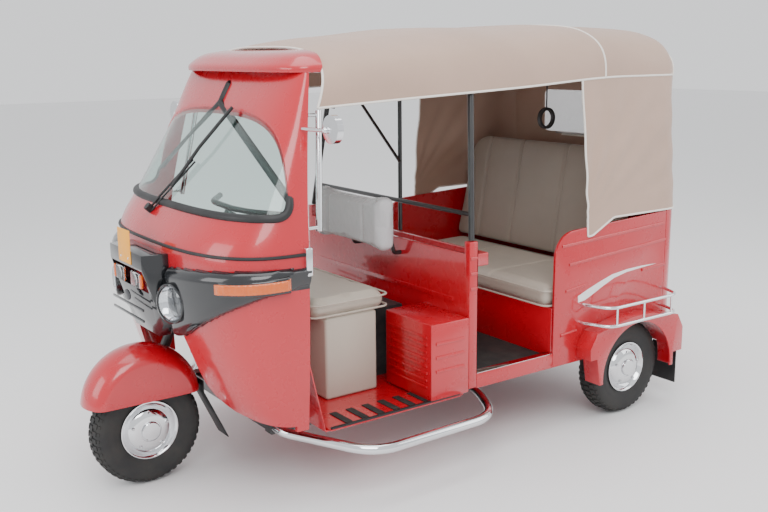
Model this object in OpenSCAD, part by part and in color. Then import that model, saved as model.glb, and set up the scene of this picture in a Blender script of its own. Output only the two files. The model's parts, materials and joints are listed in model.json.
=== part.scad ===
// Auto rickshaw: a three-wheeled passenger carrier with an open cab and a soft hood.
// +X is forward, +Y is to the left, +Z is up. The origin is on the ground, midway along the vehicle.
// Inside the modules, X is measured forward from the rear axle, and on_frame() moves it to the origin.

/* [Running gear] */
// Distance from the rear axle to the front axle
wheelbase = 2000; // [1700:10:2400]
// Distance between the middle planes of the rear wheels
track = 1142; // [1100:2:1380]
// Outer radius of the tyres
tyre_r = 212; // [177:1:255]
// Width of the tyres
tyre_w = 106; // [88:1:120]
// Radius at which a tyre sits on its rim
bead_r = 100; // [83:1:120]
// Radius of the stub axles
stub_r = 14; // [11:0.5:17]

/* [Steering] */
// Rake of the steering column from the vertical
rake = 25; // [21:1:30]
// How far the column's line passes behind the front axle
column_set = 29; // [10:1:60]
// Radius of the steering column
stem_r = 22; // [18:0.5:26]
// Height of the handlebar's clamp
bar_z = 1000; // [900:5:1080]
// Half the width of the handlebar
bar_half = 350; // [290:5:400]

/* [Body] */
// Overall width of the body
body_w = 1200; // [1150:5:1440]
// Height of the cab floor
floor_z = 275; // [250:1:320]
// Height of the passenger floor
deck_z = 335; // [325:1:400]
// How far the nose stands behind the front axle
nose_set = 56; // [40:1:90]
// How far the cab's door edge stands behind the front axle
pillar_set = 390; // [340:1:430]
// Height of the trim line round the nose
belt_z = 930; // [880:1:980]
// Height of the windscreen's lower edge above the trim line
screen_rise = 115; // [90:1:150]
// Height of the windscreen's upper edge
screen_top = 1498; // [1440:1:1520]
// Height of the visor's lip
lip_z = 1540; // [1530:1:1620]
// Thickness of a body wall
wall = 14; // [10:1:20]
// Thickness of a floor plate
plate = 6; // [4:1:10]
// Front face of the partition, ahead of the rear axle
partition_x = 900; // [800:5:980]
// Height of the partition
partition_z = 834; // [780:1:880]
// Front edge of the rear side panels, ahead of the rear axle
quarter_x = 440; // [400:5:500]
// Height of the rear side panels
quarter_z = 866; // [820:1:900]
// Rear face of the body, behind the rear axle
tail_set = 352; // [320:1:420]

/* [Seats] */
// Half the width of the driver's seat
seat_half = 340; // [280:5:400]
// Height of the top of the driver's seat
seat_z = 680; // [640:1:740]
// Thickness of the driver's cushion
seat_t = 76; // [60:1:90]
// Rear edge of the driver's seat, behind which the engine stands
seat_x = 1084; // [1040:1:1130]
// Length of the driver's seat
seat_l = 370; // [310:1:440]
// Height of the top of the passenger bench
bench_z = 636; // [600:1:700]
// Thickness of the passenger bench's cushion
bench_t = 92; // [75:1:110]
// Front edge of the bench's cushion, ahead of the rear axle
bench_x = 470; // [440:1:500]
// Height of the top of the passenger backrest
back_z = 1180; // [1100:1:1240]

/* [Hood] */
// Half the width of the hood at its lower edge
hood_half = 545; // [520:1:600]
// Height of the hood's lower edge at the front
hood_front_z = 1413; // [1380:1:1440]
// Height of the hood's lower edge at the back
hood_rear_z = 1487; // [1440:1:1540]
// Height of the roof's crown
crown_z = 1712; // [1660:1:1760]
// Thickness of the hood's cloth with its lining
hood_t = 7; // [5:1:10]
// Front edge of the near curtain, ahead of the rear axle
curtain_x = 256; // [200:1:330]

/* [Tubes] */
// Radius of the step bars
step_r = 19; // [15:1:23]
// How far a step bar stands out from the body's side
step_out = 118; // [95:1:140]
// Radius of the hood frame's tubes
hoop_r = 12; // [9:1:16]
// Radius of the mudguard rails
rail_r = 7; // [5:0.5:9]

/* [Fasteners] */
// Distance between the number plate's two screw holes
plate_pitch = 70; // [60:1:90]
// Radius of the number plate's screw holes
plate_hole_r = 3.2; // [2.5:0.1:4]
// Radius of the towing eye's hole
eye_hole_r = 12; // [10:0.5:15]

/* [Hidden] */
$fn = 48;

gap = 0.3;                    // clearance between pieces that only touch
running = 0.05;               // radial clearance of a shaft in its bearing
half = body_w / 2;

// Front mudguard: a ring about a centre above and a little ahead of the front axle
guard_r = tyre_r + 13;
guard_lift = 105;
guard_ahead = 9;
guard_half = 98;
guard_t = 4;
guard_edge = 128;             // height of its lower edge above the axle
guard_chord = sqrt(guard_r * guard_r - pow(guard_edge - guard_lift, 2));
front_x = wheelbase + guard_ahead + guard_chord;
eye_reach = 34;
length = front_x + tail_set + eye_reach;
rear_axle_x = length / 2 - front_x;

nose_x = wheelbase - nose_set;
pillar_x = wheelbase - pillar_set;
screen_z = belt_z + screen_rise;
track_half = track / 2;

module on_frame() translate([rear_axle_x, 0, 0]) children();
module both_sides() {
    children();
    mirror([0, 1, 0]) children();
}

// ---- shared shapes ----

// A straight round bar between two points
module rod(a, b, r) {
    d = b - a;
    translate(a)
        rotate([0, acos(d.z / norm(d)), atan2(d.y, d.x)])
            cylinder(h = norm(d), r = r);
}

// A skin through a stack of rings with the same number of points
module skin(rings) {
    n = len(rings[0]);
    last = len(rings) - 1;
    points = [for (ring = rings) each ring];
    sides = [
        for (i = [0 : last - 1], j = [0 : n - 1])
            let (a = i * n + j, b = i * n + (j + 1) % n)
                each [[a, a + n, b + n], [a, b + n, b]]
    ];
    low = [for (j = [0 : n - 1]) j];
    high = [for (j = [0 : n - 1]) last * n + n - 1 - j];
    polyhedron(points, concat(sides, [low], [high]), convexity = 6);
}

// A round bar swept along a path whose corners are bent; ref is a direction that the path never takes
function unit(v) = v / norm(v);
function bend(path, r) = [
    for (i = [0 : len(path) - 1])
        if (i == 0 || i == len(path) - 1) path[i]
        else
            let (p = path[i], a = unit(path[i - 1] - p) * r, b = unit(path[i + 1] - p) * r)
                each [for (t = [0 : 0.25 : 1]) p + a * (1 - t) * (1 - t) + b * t * t]
];
function tube_ring(path, i, r, ref, sides) =
    let (
        back = i == 0 ? [0, 0, 0] : unit(path[i] - path[i - 1]),
        ahead = i == len(path) - 1 ? [0, 0, 0] : unit(path[i + 1] - path[i]),
        t = unit(back + ahead),
        u = unit(cross(t, ref)),
        v = cross(u, t)
    )
        [for (k = [0 : sides - 1]) path[i] + r * (u * cos(360 * k / sides) - v * sin(360 * k / sides))];
module tube(path, r, ref = [0, 0, 1], sides = 12)
    skin([for (i = [0 : len(path) - 1]) tube_ring(path, i, r, ref, sides)]);

// A soft block with rounded edges, standing on z = 0
function round_ring(w, d, r, z) = [
    for (q = [0 : 3], a = [0 : 30 : 90])
        [(q == 0 || q == 3 ? w - r : r) + r * cos(q * 90 + a),
         (q < 2 ? d - r : r) + r * sin(q * 90 + a), z]
];
module soft_block(size, r) {
    skin([
        for (k = [0 : 7])
            let (a = k < 4 ? 30 * k - 90 : 30 * k - 120,
                 e = r * (1 - cos(a)),
                 z = r * sin(a) + (k < 4 ? r : size.z - r))
                [for (p = round_ring(size.x - 2 * e, size.y - 2 * e, r + 12 - e * 0.9, z)) p + [e, e, 0]]
    ]);
}

function power(v, e) = sign(v) * pow(abs(v), e);

// ---- cab ----

// Rows of the cab's skin: height, set back from the nose, set in from the side, door edge set back
cab_rows = [
    [floor_z + 25, 150, 12, -14],
    [floor_z + 95, 96, 6, -14],
    [floor_z + 175, 62, 2, -12],
    [floor_z + 325, 22, 0, -8],
    [belt_z - 140, 2, 2, -2],
    [belt_z - 20, 0, 8, 2],
    [belt_z + 20, 12, 12, 6],
    [screen_z, 76, 27, 14],
    [screen_z + 155, 180, 60, 36],
    [screen_z + 305, 280, 94, 62],
    [screen_top, 364, 127, 90],
    [lip_z - 8, 388, 138, 98]
];
cab_round = 3;
cab_steps = 28;

function cab_back(z) = pillar_x - lookup(z, [for (row = cab_rows) [row[0], row[3]]]);
function cab_side(z) = half - lookup(z, [for (row = cab_rows) [row[0], row[2]]]);
function cab_nose(z) = nose_x - lookup(z, [for (row = cab_rows) [row[0], row[1]]]);

// One level of the cab, grown outwards, with straight sides carried on behind the door edge
function cab_ring(row, out, rear) =
    let (
        x0 = pillar_x - row[3],
        x1 = nose_x - row[1] + out,
        w = half - row[2] + out,
        nose = [
            for (i = [0 : cab_steps])
                let (t = -90 + 180 * i / cab_steps)
                    [x0 + (x1 - x0) * power(cos(t), 2 / cab_round), w * power(sin(t), 2 / cab_round), row[0]]
        ]
    )
        rear == 0 ? nose : concat([[x0 - rear, -w, row[0]]], nose, [[x0 - rear, w, row[0]]]);
module cab_skin(out, rear = 0, low = 0, high = 0) {
    last = len(cab_rows) - 1;
    rows = [
        for (i = [0 : last])
            [cab_rows[i][0] - (i == 0 ? low : 0) + (i == last ? high : 0),
             cab_rows[i][1], cab_rows[i][2], cab_rows[i][3]]
    ];
    skin([for (row = rows) cab_ring(row, out, rear)]);
}

// Side view of the windscreen's opening, grown by a margin
module screen_outline(margin) {
    offset(r = margin) offset(r = -60) offset(delta = 60)
        polygon([
            [nose_x + 200, screen_z + 14],
            [pillar_x + 52, screen_z + 14],
            [pillar_x + 16, screen_top - 14],
            [nose_x + 200, screen_top - 14]
        ]);
}
module across(h) rotate([90, 0, 0]) linear_extrude(h, center = true) children();
module screen_cut(margin) across(body_w + 100) screen_outline(margin);

seal_w = 24;

// Front view of the opening for the front wheel, drawn as Y and Z
arch_top = 640;
module arch_outline() {
    polygon([
        for (s = [1, -1])
            let (pts = [
                [205, arch_top], [248, 560], [262, 500], [280, 440], [318, 392], [395, 352],
                [500, 330], [half + 40, 316], [half + 40, 0]
            ])
                each (s > 0 ? pts : [for (i = [len(pts) - 1 : -1 : 0]) [-pts[i][0], pts[i][1]]])
    ]);
}
module along(h) rotate([90, 0, 90]) linear_extrude(h) children();

module cab_shell() color("crimson") on_frame()
    difference() {
        cab_skin(0);
        cab_skin(-wall, wall * 5, 60, 60);
        screen_cut(seal_w / 2 + gap);
        translate([pillar_x + 60, 0, 0]) along(600) arch_outline();
    }

module windscreen_seal() color("#202326") on_frame()
    difference() {
        cab_skin(5);
        cab_skin(-wall, wall * 5, 60, 60);
        screen_cut(-seal_w / 2);
        difference() {
            across(body_w + 200) translate([0, 0]) square([8000, 8000], center = true);
            screen_cut(seal_w / 2);
        }
    }

module windscreen() color("lightseagreen", 0.35) on_frame()
    intersection() {
        difference() {
            cab_skin(-3);
            cab_skin(-9, wall * 5, 60, 60);
        }
        screen_cut(-seal_w / 2 - gap);
    }

module belt_trim() color("#202326") on_frame()
    difference() {
        intersection() {
            cab_skin(7);
            translate([pillar_x + 6, -half - 40, belt_z - 6]) cube([600, body_w + 80, 12]);
        }
        cab_skin(gap, wall * 5, 60, 60);
    }

// ---- visor over the windscreen ----
visor_t = 8;
module visor() color("crimson") on_frame()
    difference() {
        visor_skin(0);
        translate([0, 0, -visor_t]) visor_skin(visor_t, 20);
    }
function visor_ring(z, inset, back = 0) = [
    for (i = [0 : cab_steps])
        let (t = -90 + 180 * i / cab_steps,
             x0 = hood_front_x - hood_lean * (z - hood_front_z) / (hood_front_top - hood_front_z) + 3 - back,
             x1 = nose_x - 338 - inset,
             w = half - 132 - inset)
            [x0 + (x1 - x0) * power(cos(t), 0.6), w * power(sin(t), 0.6), z]
];
module visor_skin(inset, back = 0)
    skin([
        visor_ring(lip_z - 8 + gap, inset + 3, back),
        visor_ring(lip_z + 6, inset, back),
        visor_ring(lip_z + 34, inset + 24, back),
        visor_ring(lip_z + 58, inset + 70, back),
        visor_ring(lip_z + 70, inset + 150, back)
    ]);

// ---- nose furniture ----
grille_half = 175;
grille_low = 590;
grille_top = 905;
grille_x = nose_x + 58;
module front_grille() color("#15171a") on_frame()
    difference() {
        hull() {
            translate([nose_x - 40, -grille_half, grille_low + 60])
                cube([68, 2 * grille_half, grille_top - grille_low - 60]);
            translate([grille_x + 12, -grille_half + 20, grille_top - 50])
                cube([20, 2 * grille_half - 40, 50]);
            translate([nose_x - 20, -grille_half + 60, grille_low]) cube([42, 2 * grille_half - 120, 20]);
        }
        translate([nose_x - 10, -grille_half + 26, 765]) cube([200, 2 * grille_half - 52, 80]);
        cab_skin(gap, wall * 5);
    }

module wing_outline() {
    hull() {
        translate([grille_half + 3, 620]) square([60, 230]);
        translate([half - 60, belt_z - 150]) square([60, 105]);
    }
}
lamp_r = 66;
lamp_y = 262;
lamp_z = 765;
module lamp_shell(out)
    difference() {
        cab_skin(out);
        cab_skin(gap * 2, wall * 5, 60, 60);
    }
module lamp_cut(r)
    both_sides() translate([nose_x - 66, lamp_y, lamp_z]) rotate([0, 90, 22]) cylinder(h = 200, r = r);
module indicator_cut(grow)
    both_sides() translate([pillar_x + 104 - grow, half - 110, belt_z - 122 - grow])
        cube([180 + 2 * grow, 200, 42 + 2 * grow]);
module lamp_wings() color("#15171a") on_frame()
    difference() {
        intersection() {
            lamp_shell(34);
            both_sides() translate([pillar_x + 76, 0, 0]) along(600) wing_outline();
        }
        lamp_cut(lamp_r);
        indicator_cut(gap);
    }
module headlamps() color("white", 0.5) on_frame()
    intersection() {
        lamp_shell(38);
        lamp_cut(lamp_r - gap);
    }
module indicators() color("orange") on_frame()
    intersection() {
        lamp_shell(40);
        indicator_cut(0);
    }

plate_w = 118;
plate_h = 124;
plate_t = 2;
plate_lean = 8;
module number_plate() color("goldenrod") on_frame()
    translate([grille_x + 32 + gap, 0, grille_top - 8])
        difference() {
            translate([0, -plate_w / 2, -40]) cube([plate_t, plate_w, plate_h]);
            for (s = [-1, 1])
                translate([-5, s * plate_pitch / 2, -20]) rotate([0, 90, 0]) cylinder(h = 20, r = plate_hole_r);
        }

// ---- wiper and mirrors ----
wiper_y = -90;
module wiper() color("#111111") on_frame() {
    foot = screen_z - 32;
    root = [cab_nose(foot), wiper_y, foot];
    rod(root, root + [30, 0, 22], 9);
    rod(root + [26, 0, 19], root + [-130, 190, 290], 4);
}
mirror_z = 1345;
module mirrors() both_sides() color("silver") on_frame() {
    root = [cab_back(mirror_z) + 22, cab_side(mirror_z) + 1, mirror_z];
    tip = [root.x - 24, half + 14, mirror_z];
    rod(root, tip, 7);
    translate(tip) sphere(r = 11);
    translate(tip + [-30, 22, 4]) rotate([0, 90, 0]) cylinder(h = 24, r = 48);
}

module dashboard() color("#2b2d30") on_frame()
    intersection() {
        cab_skin(-wall - gap, wall * 5, 60, 60);
        translate([pillar_x + 92, -half, belt_z - 40]) cube([500, body_w, 70]);
    }

// ---- floor, chassis and steps ----
rail_y = 330;
rail_w = 50;
rail_h = 60;
rail_z = floor_z - plate - rail_h - gap;

function column_at(z) =
    [wheelbase - column_set - (z - tyre_r) * tan(rake), 0, z];
head_low = 600;
head_top = 790;
head_r = 36;

down_r = 17;
down_foot = [pillar_x - 30, 290, rail_z + 30];
down_head = column_at(head_top - 20) + [-8, 24, 0];
function down_at(z) = down_foot + (down_head - down_foot) * (z - down_foot.z) / (down_head.z - down_foot.z);

rear_rail_z = deck_z - plate - rail_h - gap;
rail_lap = 200;

module chassis() color("#1a1a1c") on_frame() {
    difference() {
        union() {
            for (s = [-1, 1]) {
                translate([partition_x - rail_lap, s * rail_y - rail_w / 2, rail_z])
                    cube([pillar_x + 40 - partition_x + rail_lap, rail_w, rail_h]);
                translate([-tail_set + 20, s * rail_y - rail_w / 2, rear_rail_z])
                    cube([partition_x + tail_set - 40, rail_w, rail_h]);
            }
            for (x = [-tail_set + 20, quarter_x - 60, partition_x - 80])
                translate([x, -rail_y, rear_rail_z + 8]) cube([50, 2 * rail_y, rail_h - 16]);
            translate([pillar_x - 10, -rail_y, rail_z + 8]) cube([50, 2 * rail_y, rail_h - 16]);
            for (x = [quarter_x - 60, partition_x - 80])
                translate([x, -half + 60, rear_rail_z + 20]) cube([40, body_w - 120, 24]);
            both_sides() rod(down_foot, down_head, down_r);
            rod(column_at(head_low), column_at(head_top), head_r);
            translate([-tail_set - eye_reach, -20, rear_rail_z + 12]) cube([eye_reach + 40, 40, 36]);
        }
        rod(column_at(head_low - 60), column_at(head_top + 60), stem_r + running);
        translate([-tail_set - eye_reach + 16, 0, rear_rail_z - 20]) cylinder(h = 100, r = eye_hole_r);
    }
}

sill_w = 40;
module deck_plan() {
    reach = half - sill_w - gap;
    hull() {
        translate([partition_x - wall - gap - 1, -reach]) square([1, 2 * reach]);
        for (s = [-1, 1]) translate([-tail_set + tail_r, s * (half - tail_r)]) circle(r = reach - half + tail_r);
        translate([-tail_set + wall + gap, -half + tail_r]) square([1, body_w - 2 * tail_r]);
    }
}

toe_x = pillar_x - 60;
toe_top = arch_top + 20;
toe_reach = 90;

// Plan of the cab's inside at one height, as a flat outline
module cab_plan(z, inset) {
    ring = cab_ring([z, nose_x - cab_nose(z), half - cab_side(z), pillar_x - cab_back(z)], -inset, 0);
    polygon([for (p = ring) [p.x, p.y]]);
}

module floor_pan() color("darkred") on_frame()
    difference() {
        union() {
            translate([partition_x + 12, -half + 20, floor_z - plate])
                cube([toe_x - partition_x - 12, body_w - 40, plate]);
            translate([0, 0, deck_z - plate]) linear_extrude(plate) deck_plan();
            across(body_w - 2 * wall - 12) polygon([
                [toe_x, floor_z - plate], [toe_x + toe_reach + 2, toe_top - plate],
                [toe_x + toe_reach + 2, toe_top], [toe_x + toe_reach - 4, toe_top], [toe_x, floor_z]
            ]);
            translate([0, 0, toe_top - plate]) linear_extrude(plate) union() {
                cab_plan(toe_top, wall + 4);
                translate([toe_x + toe_reach - 2, -half + wall + 6]) square([60, body_w - 2 * wall - 12]);
            }
        }
        rod(column_at(head_low - 100), column_at(head_top + 100), head_r + gap);
        both_sides() translate([down_at(toe_top).x, down_at(toe_top).y, toe_top - 2 * plate])
            cylinder(h = 3 * plate, r = down_r + 10);
        both_sides() translate([0, arch_in - gap, tyre_r]) rotate([-90, 0, 0]) cylinder(h = 300, r = arch_r + gap);
    }

step_in = 150;
module step_plates() color("crimson") on_frame()
    both_sides() translate([partition_x + 40, half - step_in, floor_z + gap])
        cube([toe_x - partition_x - 50, step_in, 5]);

module step_bars() color("silver") on_frame()
    both_sides() tube(bend([
        [pillar_x + 20, rail_y + rail_w / 2 + gap, rail_z + 24],
        [pillar_x + 20, rail_y + rail_w / 2 + 60, rail_z + 24],
        [pillar_x - 180, half + step_out, rail_z],
        [partition_x - 40, half + step_out - 14, rail_z],
        [partition_x - 130, half - 100, rail_z + 24],
        [partition_x - 130, rail_y + rail_w / 2 + gap, rail_z + 24]
    ], 40), step_r, [0.1, 0, 1]);

module cab_rails() color("silver") on_frame()
    both_sides() {
        low = screen_z - 32;
        high = hood_front_z - 24;
        for (z = [low, high])
            rod([cab_back(z) - 46, cab_side(z) - wall / 2, z], [cab_back(z) - 1.5, cab_side(z) - wall / 2, z], 6);
        rod([cab_back(low) - 46, cab_side(low) - wall / 2, low - 14],
            [cab_back(high) - 46, cab_side(high) - wall / 2, high + 14], 11);
    }

// ---- driver's place ----
seat_box_z = seat_z - seat_t - gap;
module seat_box() color("tan") on_frame()
    translate([seat_x + 64, -seat_half + 12, floor_z + gap])
        cube([seat_l - 130, 2 * seat_half - 24, seat_box_z - floor_z - gap]);
module driver_seat() color("tan") on_frame()
    translate([seat_x, -seat_half, seat_z - seat_t])
        soft_block([seat_l, 2 * seat_half, seat_t], 20);

pad_half = 270;
pad_low = 800;
pad_h = 240;
pad_t = 90;
pad_x = 990;
module driver_backrest() color("silver", 0.8) on_frame()
    translate([pad_x, -pad_half, pad_low])
        soft_block([pad_t, 2 * pad_half, pad_h], 30);
module backrest_stay() color("#1a1a1c") on_frame()
    for (s = [-1, 1])
        tube(bend([
            [partition_x + gap, s * 150, partition_z - 60],
            [partition_x + 34, s * 150, partition_z - 60],
            [pad_x - 24, s * 150, pad_low + 90],
            [pad_x - gap, s * 150, pad_low + 90]
        ], 14), 9, [0, 1, 0]);

module engine() color("#1a1a1c") on_frame()
    translate([partition_x + 30, -200, floor_z + gap]) cube([seat_x - partition_x + 20, 400, 290]);

box_front = partition_x + 186;
box_top = 587;
box_in = half - 300;
module engine_box() color("crimson") on_frame()
    difference() {
        translate([partition_x + gap, box_in, floor_z + 8])
            cube([box_front - partition_x, half - box_in, box_top - floor_z - 8]);
        translate([partition_x - 10, box_in - 10, floor_z - 10])
            cube([box_front - partition_x + 10 - 8, half - box_in, box_top - floor_z - 2]);
    }

// ---- partition ----
module partition() color("crimson") on_frame()
    difference() {
        union() {
            translate([partition_x - wall, -half, deck_z - 40]) cube([wall, body_w, partition_z - deck_z + 40]);
            translate([partition_x - 96, -half + 2, partition_z - 50]) cube([90, body_w - 4, 50]);
            both_sides() translate([partition_x - 40, half - 34, deck_z - 40])
                cube([40, 34, partition_z - deck_z + 90]);
        }
        translate([partition_x - 82, -half + 60, partition_z - 42]) cube([62, body_w - 120, 60]);
    }

// ---- passenger's place ----
base_top = bench_z - bench_t - gap;
module bench_base() color("crimson") on_frame() {
    front = quarter_x - wall;
    translate([front, -half + wall + gap, deck_z + gap])
        cube([wall, body_w - 2 * wall - 2 * gap, base_top - deck_z - gap]);
    translate([-tail_set + tail_r, -half + wall + gap, base_top - wall])
        cube([tail_set - tail_r + front + 1, body_w - 2 * wall - 2 * gap, wall]);
}
bench_back_x = -60;
module bench_cushion() color("tan") on_frame()
    translate([bench_back_x, -half + wall + 6, bench_z - bench_t])
        soft_block([bench_x - bench_back_x, body_w - 2 * wall - 12, bench_t], 24);
back_r = 28;
module bench_backrest() color("rosybrown") on_frame()
    hull() for (s = [-1, 1]) {
        translate([bench_back_x + 46, s * (half - wall - 40), bench_z + gap + back_r]) sphere(r = back_r, $fn = 16);
        translate([bench_back_x - 40, s * (half - wall - 80), back_z - back_r]) sphere(r = back_r, $fn = 16);
    }

// ---- rear body ----
tail_r = 100;
arch_r = tyre_r + 34;         // outside of the wheel housing
arch_t = 8;
module quarter_outline() {
    difference() {
        polygon(concat(
            [[-tail_set, 290], [quarter_x, 290]],
            [for (a = [0 : 10 : 90]) [quarter_x - 110 + 110 * cos(a), quarter_z - 110 + 110 * sin(a)]],
            [[-tail_set, quarter_z + 30]]
        ));
        translate([0, tyre_r]) circle(r = arch_r + gap);
    }
}
module side_panels() color("crimson") on_frame() {
    both_sides() {
        translate([0, half, 0]) rotate([90, 0, 0]) linear_extrude(wall)
            intersection() {
                quarter_outline();
                translate([-tail_set + tail_r, 0]) square([2000, 2000]);
            }
        translate([quarter_x + gap, half - 40, 290]) cube([partition_x - 40 - quarter_x - 2 * gap, 40, 60]);
    }
}
module rear_panel() color("crimson") on_frame()
    translate([-tail_set + tail_r - gap, 0, deck_z - 14])
        linear_extrude(quarter_z + 30 - deck_z + 14) difference() {
            tail_plan(0);
            tail_plan(wall);
        }
module tail_plan(inset) {
    hull() {
        translate([0, -half + inset]) square([inset > 0 ? 20 : 0.01, body_w - 2 * inset]);
        for (s = [-1, 1])
            translate([0, s * (half - tail_r)]) intersection() {
                circle(r = tail_r - inset);
                translate([-500, -500]) square([500, 1000]);
            }
    }
}

arch_out = 84;
arch_in = half - 122;
module mudguard_outline() {
    polygon([
        [300, 100], [302, 150], [262, 214], [60, 250], [-60, 250], [-262, 214], [-300, 150], [-300, 40],
        [-240, 40], [-240, -20], [240, -20], [260, 100]
    ]);
}
module rear_mudguards() color("crimson") on_frame()
    both_sides() difference() {
        union() {
            translate([0, half + gap + arch_out, tyre_r]) rotate([90, 0, 0])
                linear_extrude(arch_out) mudguard_outline();
            translate([0, half + gap + 1, tyre_r]) rotate([90, 0, 0])
                linear_extrude(half + gap + 1 - arch_in) intersection() {
                    circle(r = arch_r);
                    translate([-400, 80]) square([800, 400]);
                }
        }
        translate([0, arch_in + arch_t, tyre_r]) rotate([-90, 0, 0])
            cylinder(h = half + gap + arch_out - arch_in - 2 * arch_t, r = arch_r - arch_t);
        translate([0, arch_in + arch_t, tyre_r]) rotate([-90, 0, 0]) cylinder(h = 500, r = tyre_r + 8);
    }
module mudguard_rails() color("silver") on_frame()
    both_sides() for (z = [460, 540])
        tube(bend([
            [276, half + gap, z], [276, half + 16, z], [236, half + 130, z],
            [-190, half + 130, z], [-232, half + 16, z], [-232, half + gap, z]
        ], 8), rail_r, [0.02, 0.01, 1]);
module tail_lamps() color("red") on_frame()
    both_sides() translate([-tail_set - 16, half - 190, 560]) cube([16 - gap, 90, 120]);

// ---- hood ----
hood_front_x = pillar_x - 105;
hood_front_top = lip_z + 82;
hood_lean = 72;               // how far the crown's front edge stands behind the lower corners
hood_steps = 20;
hood_rows = [
    // set along X, half width, lower edge, crown
    [-tail_set, hood_half - 30, hood_rear_z, crown_z - 70],
    [-tail_set + 60, hood_half - 4, hood_rear_z, crown_z - 20],
    [0, hood_half, hood_rear_z, crown_z],
    [600, hood_half - 8, hood_rear_z - 30, crown_z - 10],
    [1200, hood_half - 30, hood_front_z + 16, crown_z - 46],
    [hood_front_x, hood_half - 42, hood_front_z, hood_front_top]
];
function hood_w(x) = lookup(x, [for (r = hood_rows) [r[0], r[1]]]);
function hood_low(x) = lookup(x, [for (r = hood_rows) [r[0], r[2]]]);
function hood_high(x) = lookup(x, [for (r = hood_rows) [r[0], r[3]]]);
function hood_set(x) = lookup(x, [[hood_rows[4][0], 0], [hood_front_x, hood_lean]]);
function hood_point(x, t, out, drop = 0) =
    [x - hood_set(x) * power(sin(t), 0.7),
     (hood_w(x) + out) * power(cos(t), 0.6),
     hood_low(x) - drop + (hood_high(x) - hood_low(x) + out + drop) * power(sin(t), 0.7)];
function hood_ring(x, out, drop = 0) =
    [for (i = [0 : hood_steps]) hood_point(x, 180 * i / hood_steps, out, drop)];
module canopy() color("tan") on_frame()
    difference() {
        skin([for (r = hood_rows) hood_ring(r[0], 0)]);
        skin([
            for (i = [0 : len(hood_rows) - 1])
                let (x = hood_rows[i][0], push = i == 0 ? hood_t : i == len(hood_rows) - 1 ? 10 : 0)
                    [for (p = hood_ring(x, -hood_t, 10)) p + [push, 0, 0]]
        ]);
    }

module bow(x) {
    tube([for (t = [18 : 9 : 162]) hood_point(x, t, -hood_t - hoop_r - 2.5)], hoop_r, [1, 0, 0], 8);
}
handle_x = 240;
post_top = [partition_x - 80, hood_w(partition_x - 80) - 46, hood_low(partition_x - 80) + 22];
module hood_frame() color("#151515") on_frame() {
    for (s = [-1, 1])
        rod([partition_x - 22, s * (half - 18), partition_z + 50 + hoop_r * 0.25], [post_top.x, s * post_top.y, post_top.z], hoop_r);
    rod([partition_x - 96 - hoop_r - gap, 0, partition_z - 40],
        [partition_x - 100 - hoop_r, 0, hood_high(partition_x - 100) - hood_t - 30], hoop_r);
    rod([partition_x - 30, -half + 30, 985], [partition_x - 30, half - 30, 985], 9);
    for (x = [handle_x, partition_x - 100, hood_front_x - 60]) bow(x);
}

curtain_t = 5;
module side_curtains() color("tan") on_frame()
    both_sides() {
        front = curtain_x;
        back = -tail_set + tail_r;
        lap = quarter_z + 32;
        hull() for (x = [front, back]) {
            translate([x, hood_w(x) - curtain_t, hood_low(x) - gap - 1]) cube([1, curtain_t, 1]);
            translate([x, half + gap, lap]) cube([1, curtain_t, 1]);
        }
        translate([back, half + gap, lap - 66]) cube([front - back + 1, curtain_t, 67]);
    }
module grab_handle() color("#111111") on_frame() {
    hang = hood_point(handle_x, 63, -hood_t - hoop_r - 2.5);
    ring_z = 1310;
    translate([handle_x, hang.y, 0]) {
        rod([0, 0, ring_z + 42], [0, 0, hang.z - hoop_r * 1.1 - gap], 3);
        difference() {
            translate([0, 0, ring_z]) rotate([90, 0, 0]) cylinder(h = 16, r = 46, center = true);
            translate([0, 0, ring_z]) rotate([90, 0, 0]) cylinder(h = 20, r = 34, center = true);
        }
    }
}

// ---- rear axle ----
hub_in = 60;
axle_r = 27;
spring_l = 300;
module rear_axle() color("#2a2a2c") on_frame() {
    translate([0, 0, tyre_r]) {
        rotate([90, 0, 0]) cylinder(h = track - 2 * hub_in, r = axle_r, center = true);
        sphere(r = 86);
        rotate([90, 0, 0]) cylinder(h = track + 40, r = stub_r, center = true);
    }
    top = rear_rail_z - gap;
    both_sides() translate([0, rail_y, 0]) across(rail_w - 8) polygon([
        [-spring_l, top - 16], [-spring_l + 60, top - 16], [-60, tyre_r + axle_r - 6], [60, tyre_r + axle_r - 6],
        [spring_l - 60, top - 16], [spring_l, top - 16], [spring_l, top], [spring_l - 50, top],
        [80, tyre_r + axle_r + 12], [-80, tyre_r + axle_r + 12], [-spring_l + 50, top], [-spring_l, top]
    ]);
}

// ---- wheels ----
module tyre_at(p) translate(p) rotate([90, 0, 0])
    rotate_extrude($fn = 96)
        difference() {
            union() {
                translate([tyre_r - tyre_w / 2, 0]) circle(r = tyre_w / 2);
                translate([bead_r, -tyre_w * 0.4]) square([tyre_r - tyre_w / 2 - bead_r, tyre_w * 0.8]);
            }
            translate([0, -tyre_w]) square([bead_r + gap, 2 * tyre_w]);
        }
module wheel_at(p, side) translate(p) rotate([-90 * side, 0, 0])
    rotate_extrude($fn = 96)
        polygon([
            [stub_r + running, -46], [46, -46], [46, 0], [bead_r - 12, 8], [bead_r - 12, -48],
            [bead_r, -48], [bead_r, 48], [bead_r + 12, 50], [bead_r + 12, 60], [bead_r - 4, 60],
            [bead_r - 8, 20], [52, 22], [40, 60], [stub_r + running, 68]
        ]);
rear_hub = [0, track_half, tyre_r];
front_hub = [wheelbase, 0, tyre_r];
module front_tyre() color("#1b1b1b") on_frame() tyre_at(front_hub);
module front_wheel() color("silver") on_frame() wheel_at(front_hub, 1);
module rear_left_tyre() color("#1b1b1b") on_frame() tyre_at(rear_hub);
module rear_left_wheel() color("silver") on_frame() wheel_at(rear_hub, 1);
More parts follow.
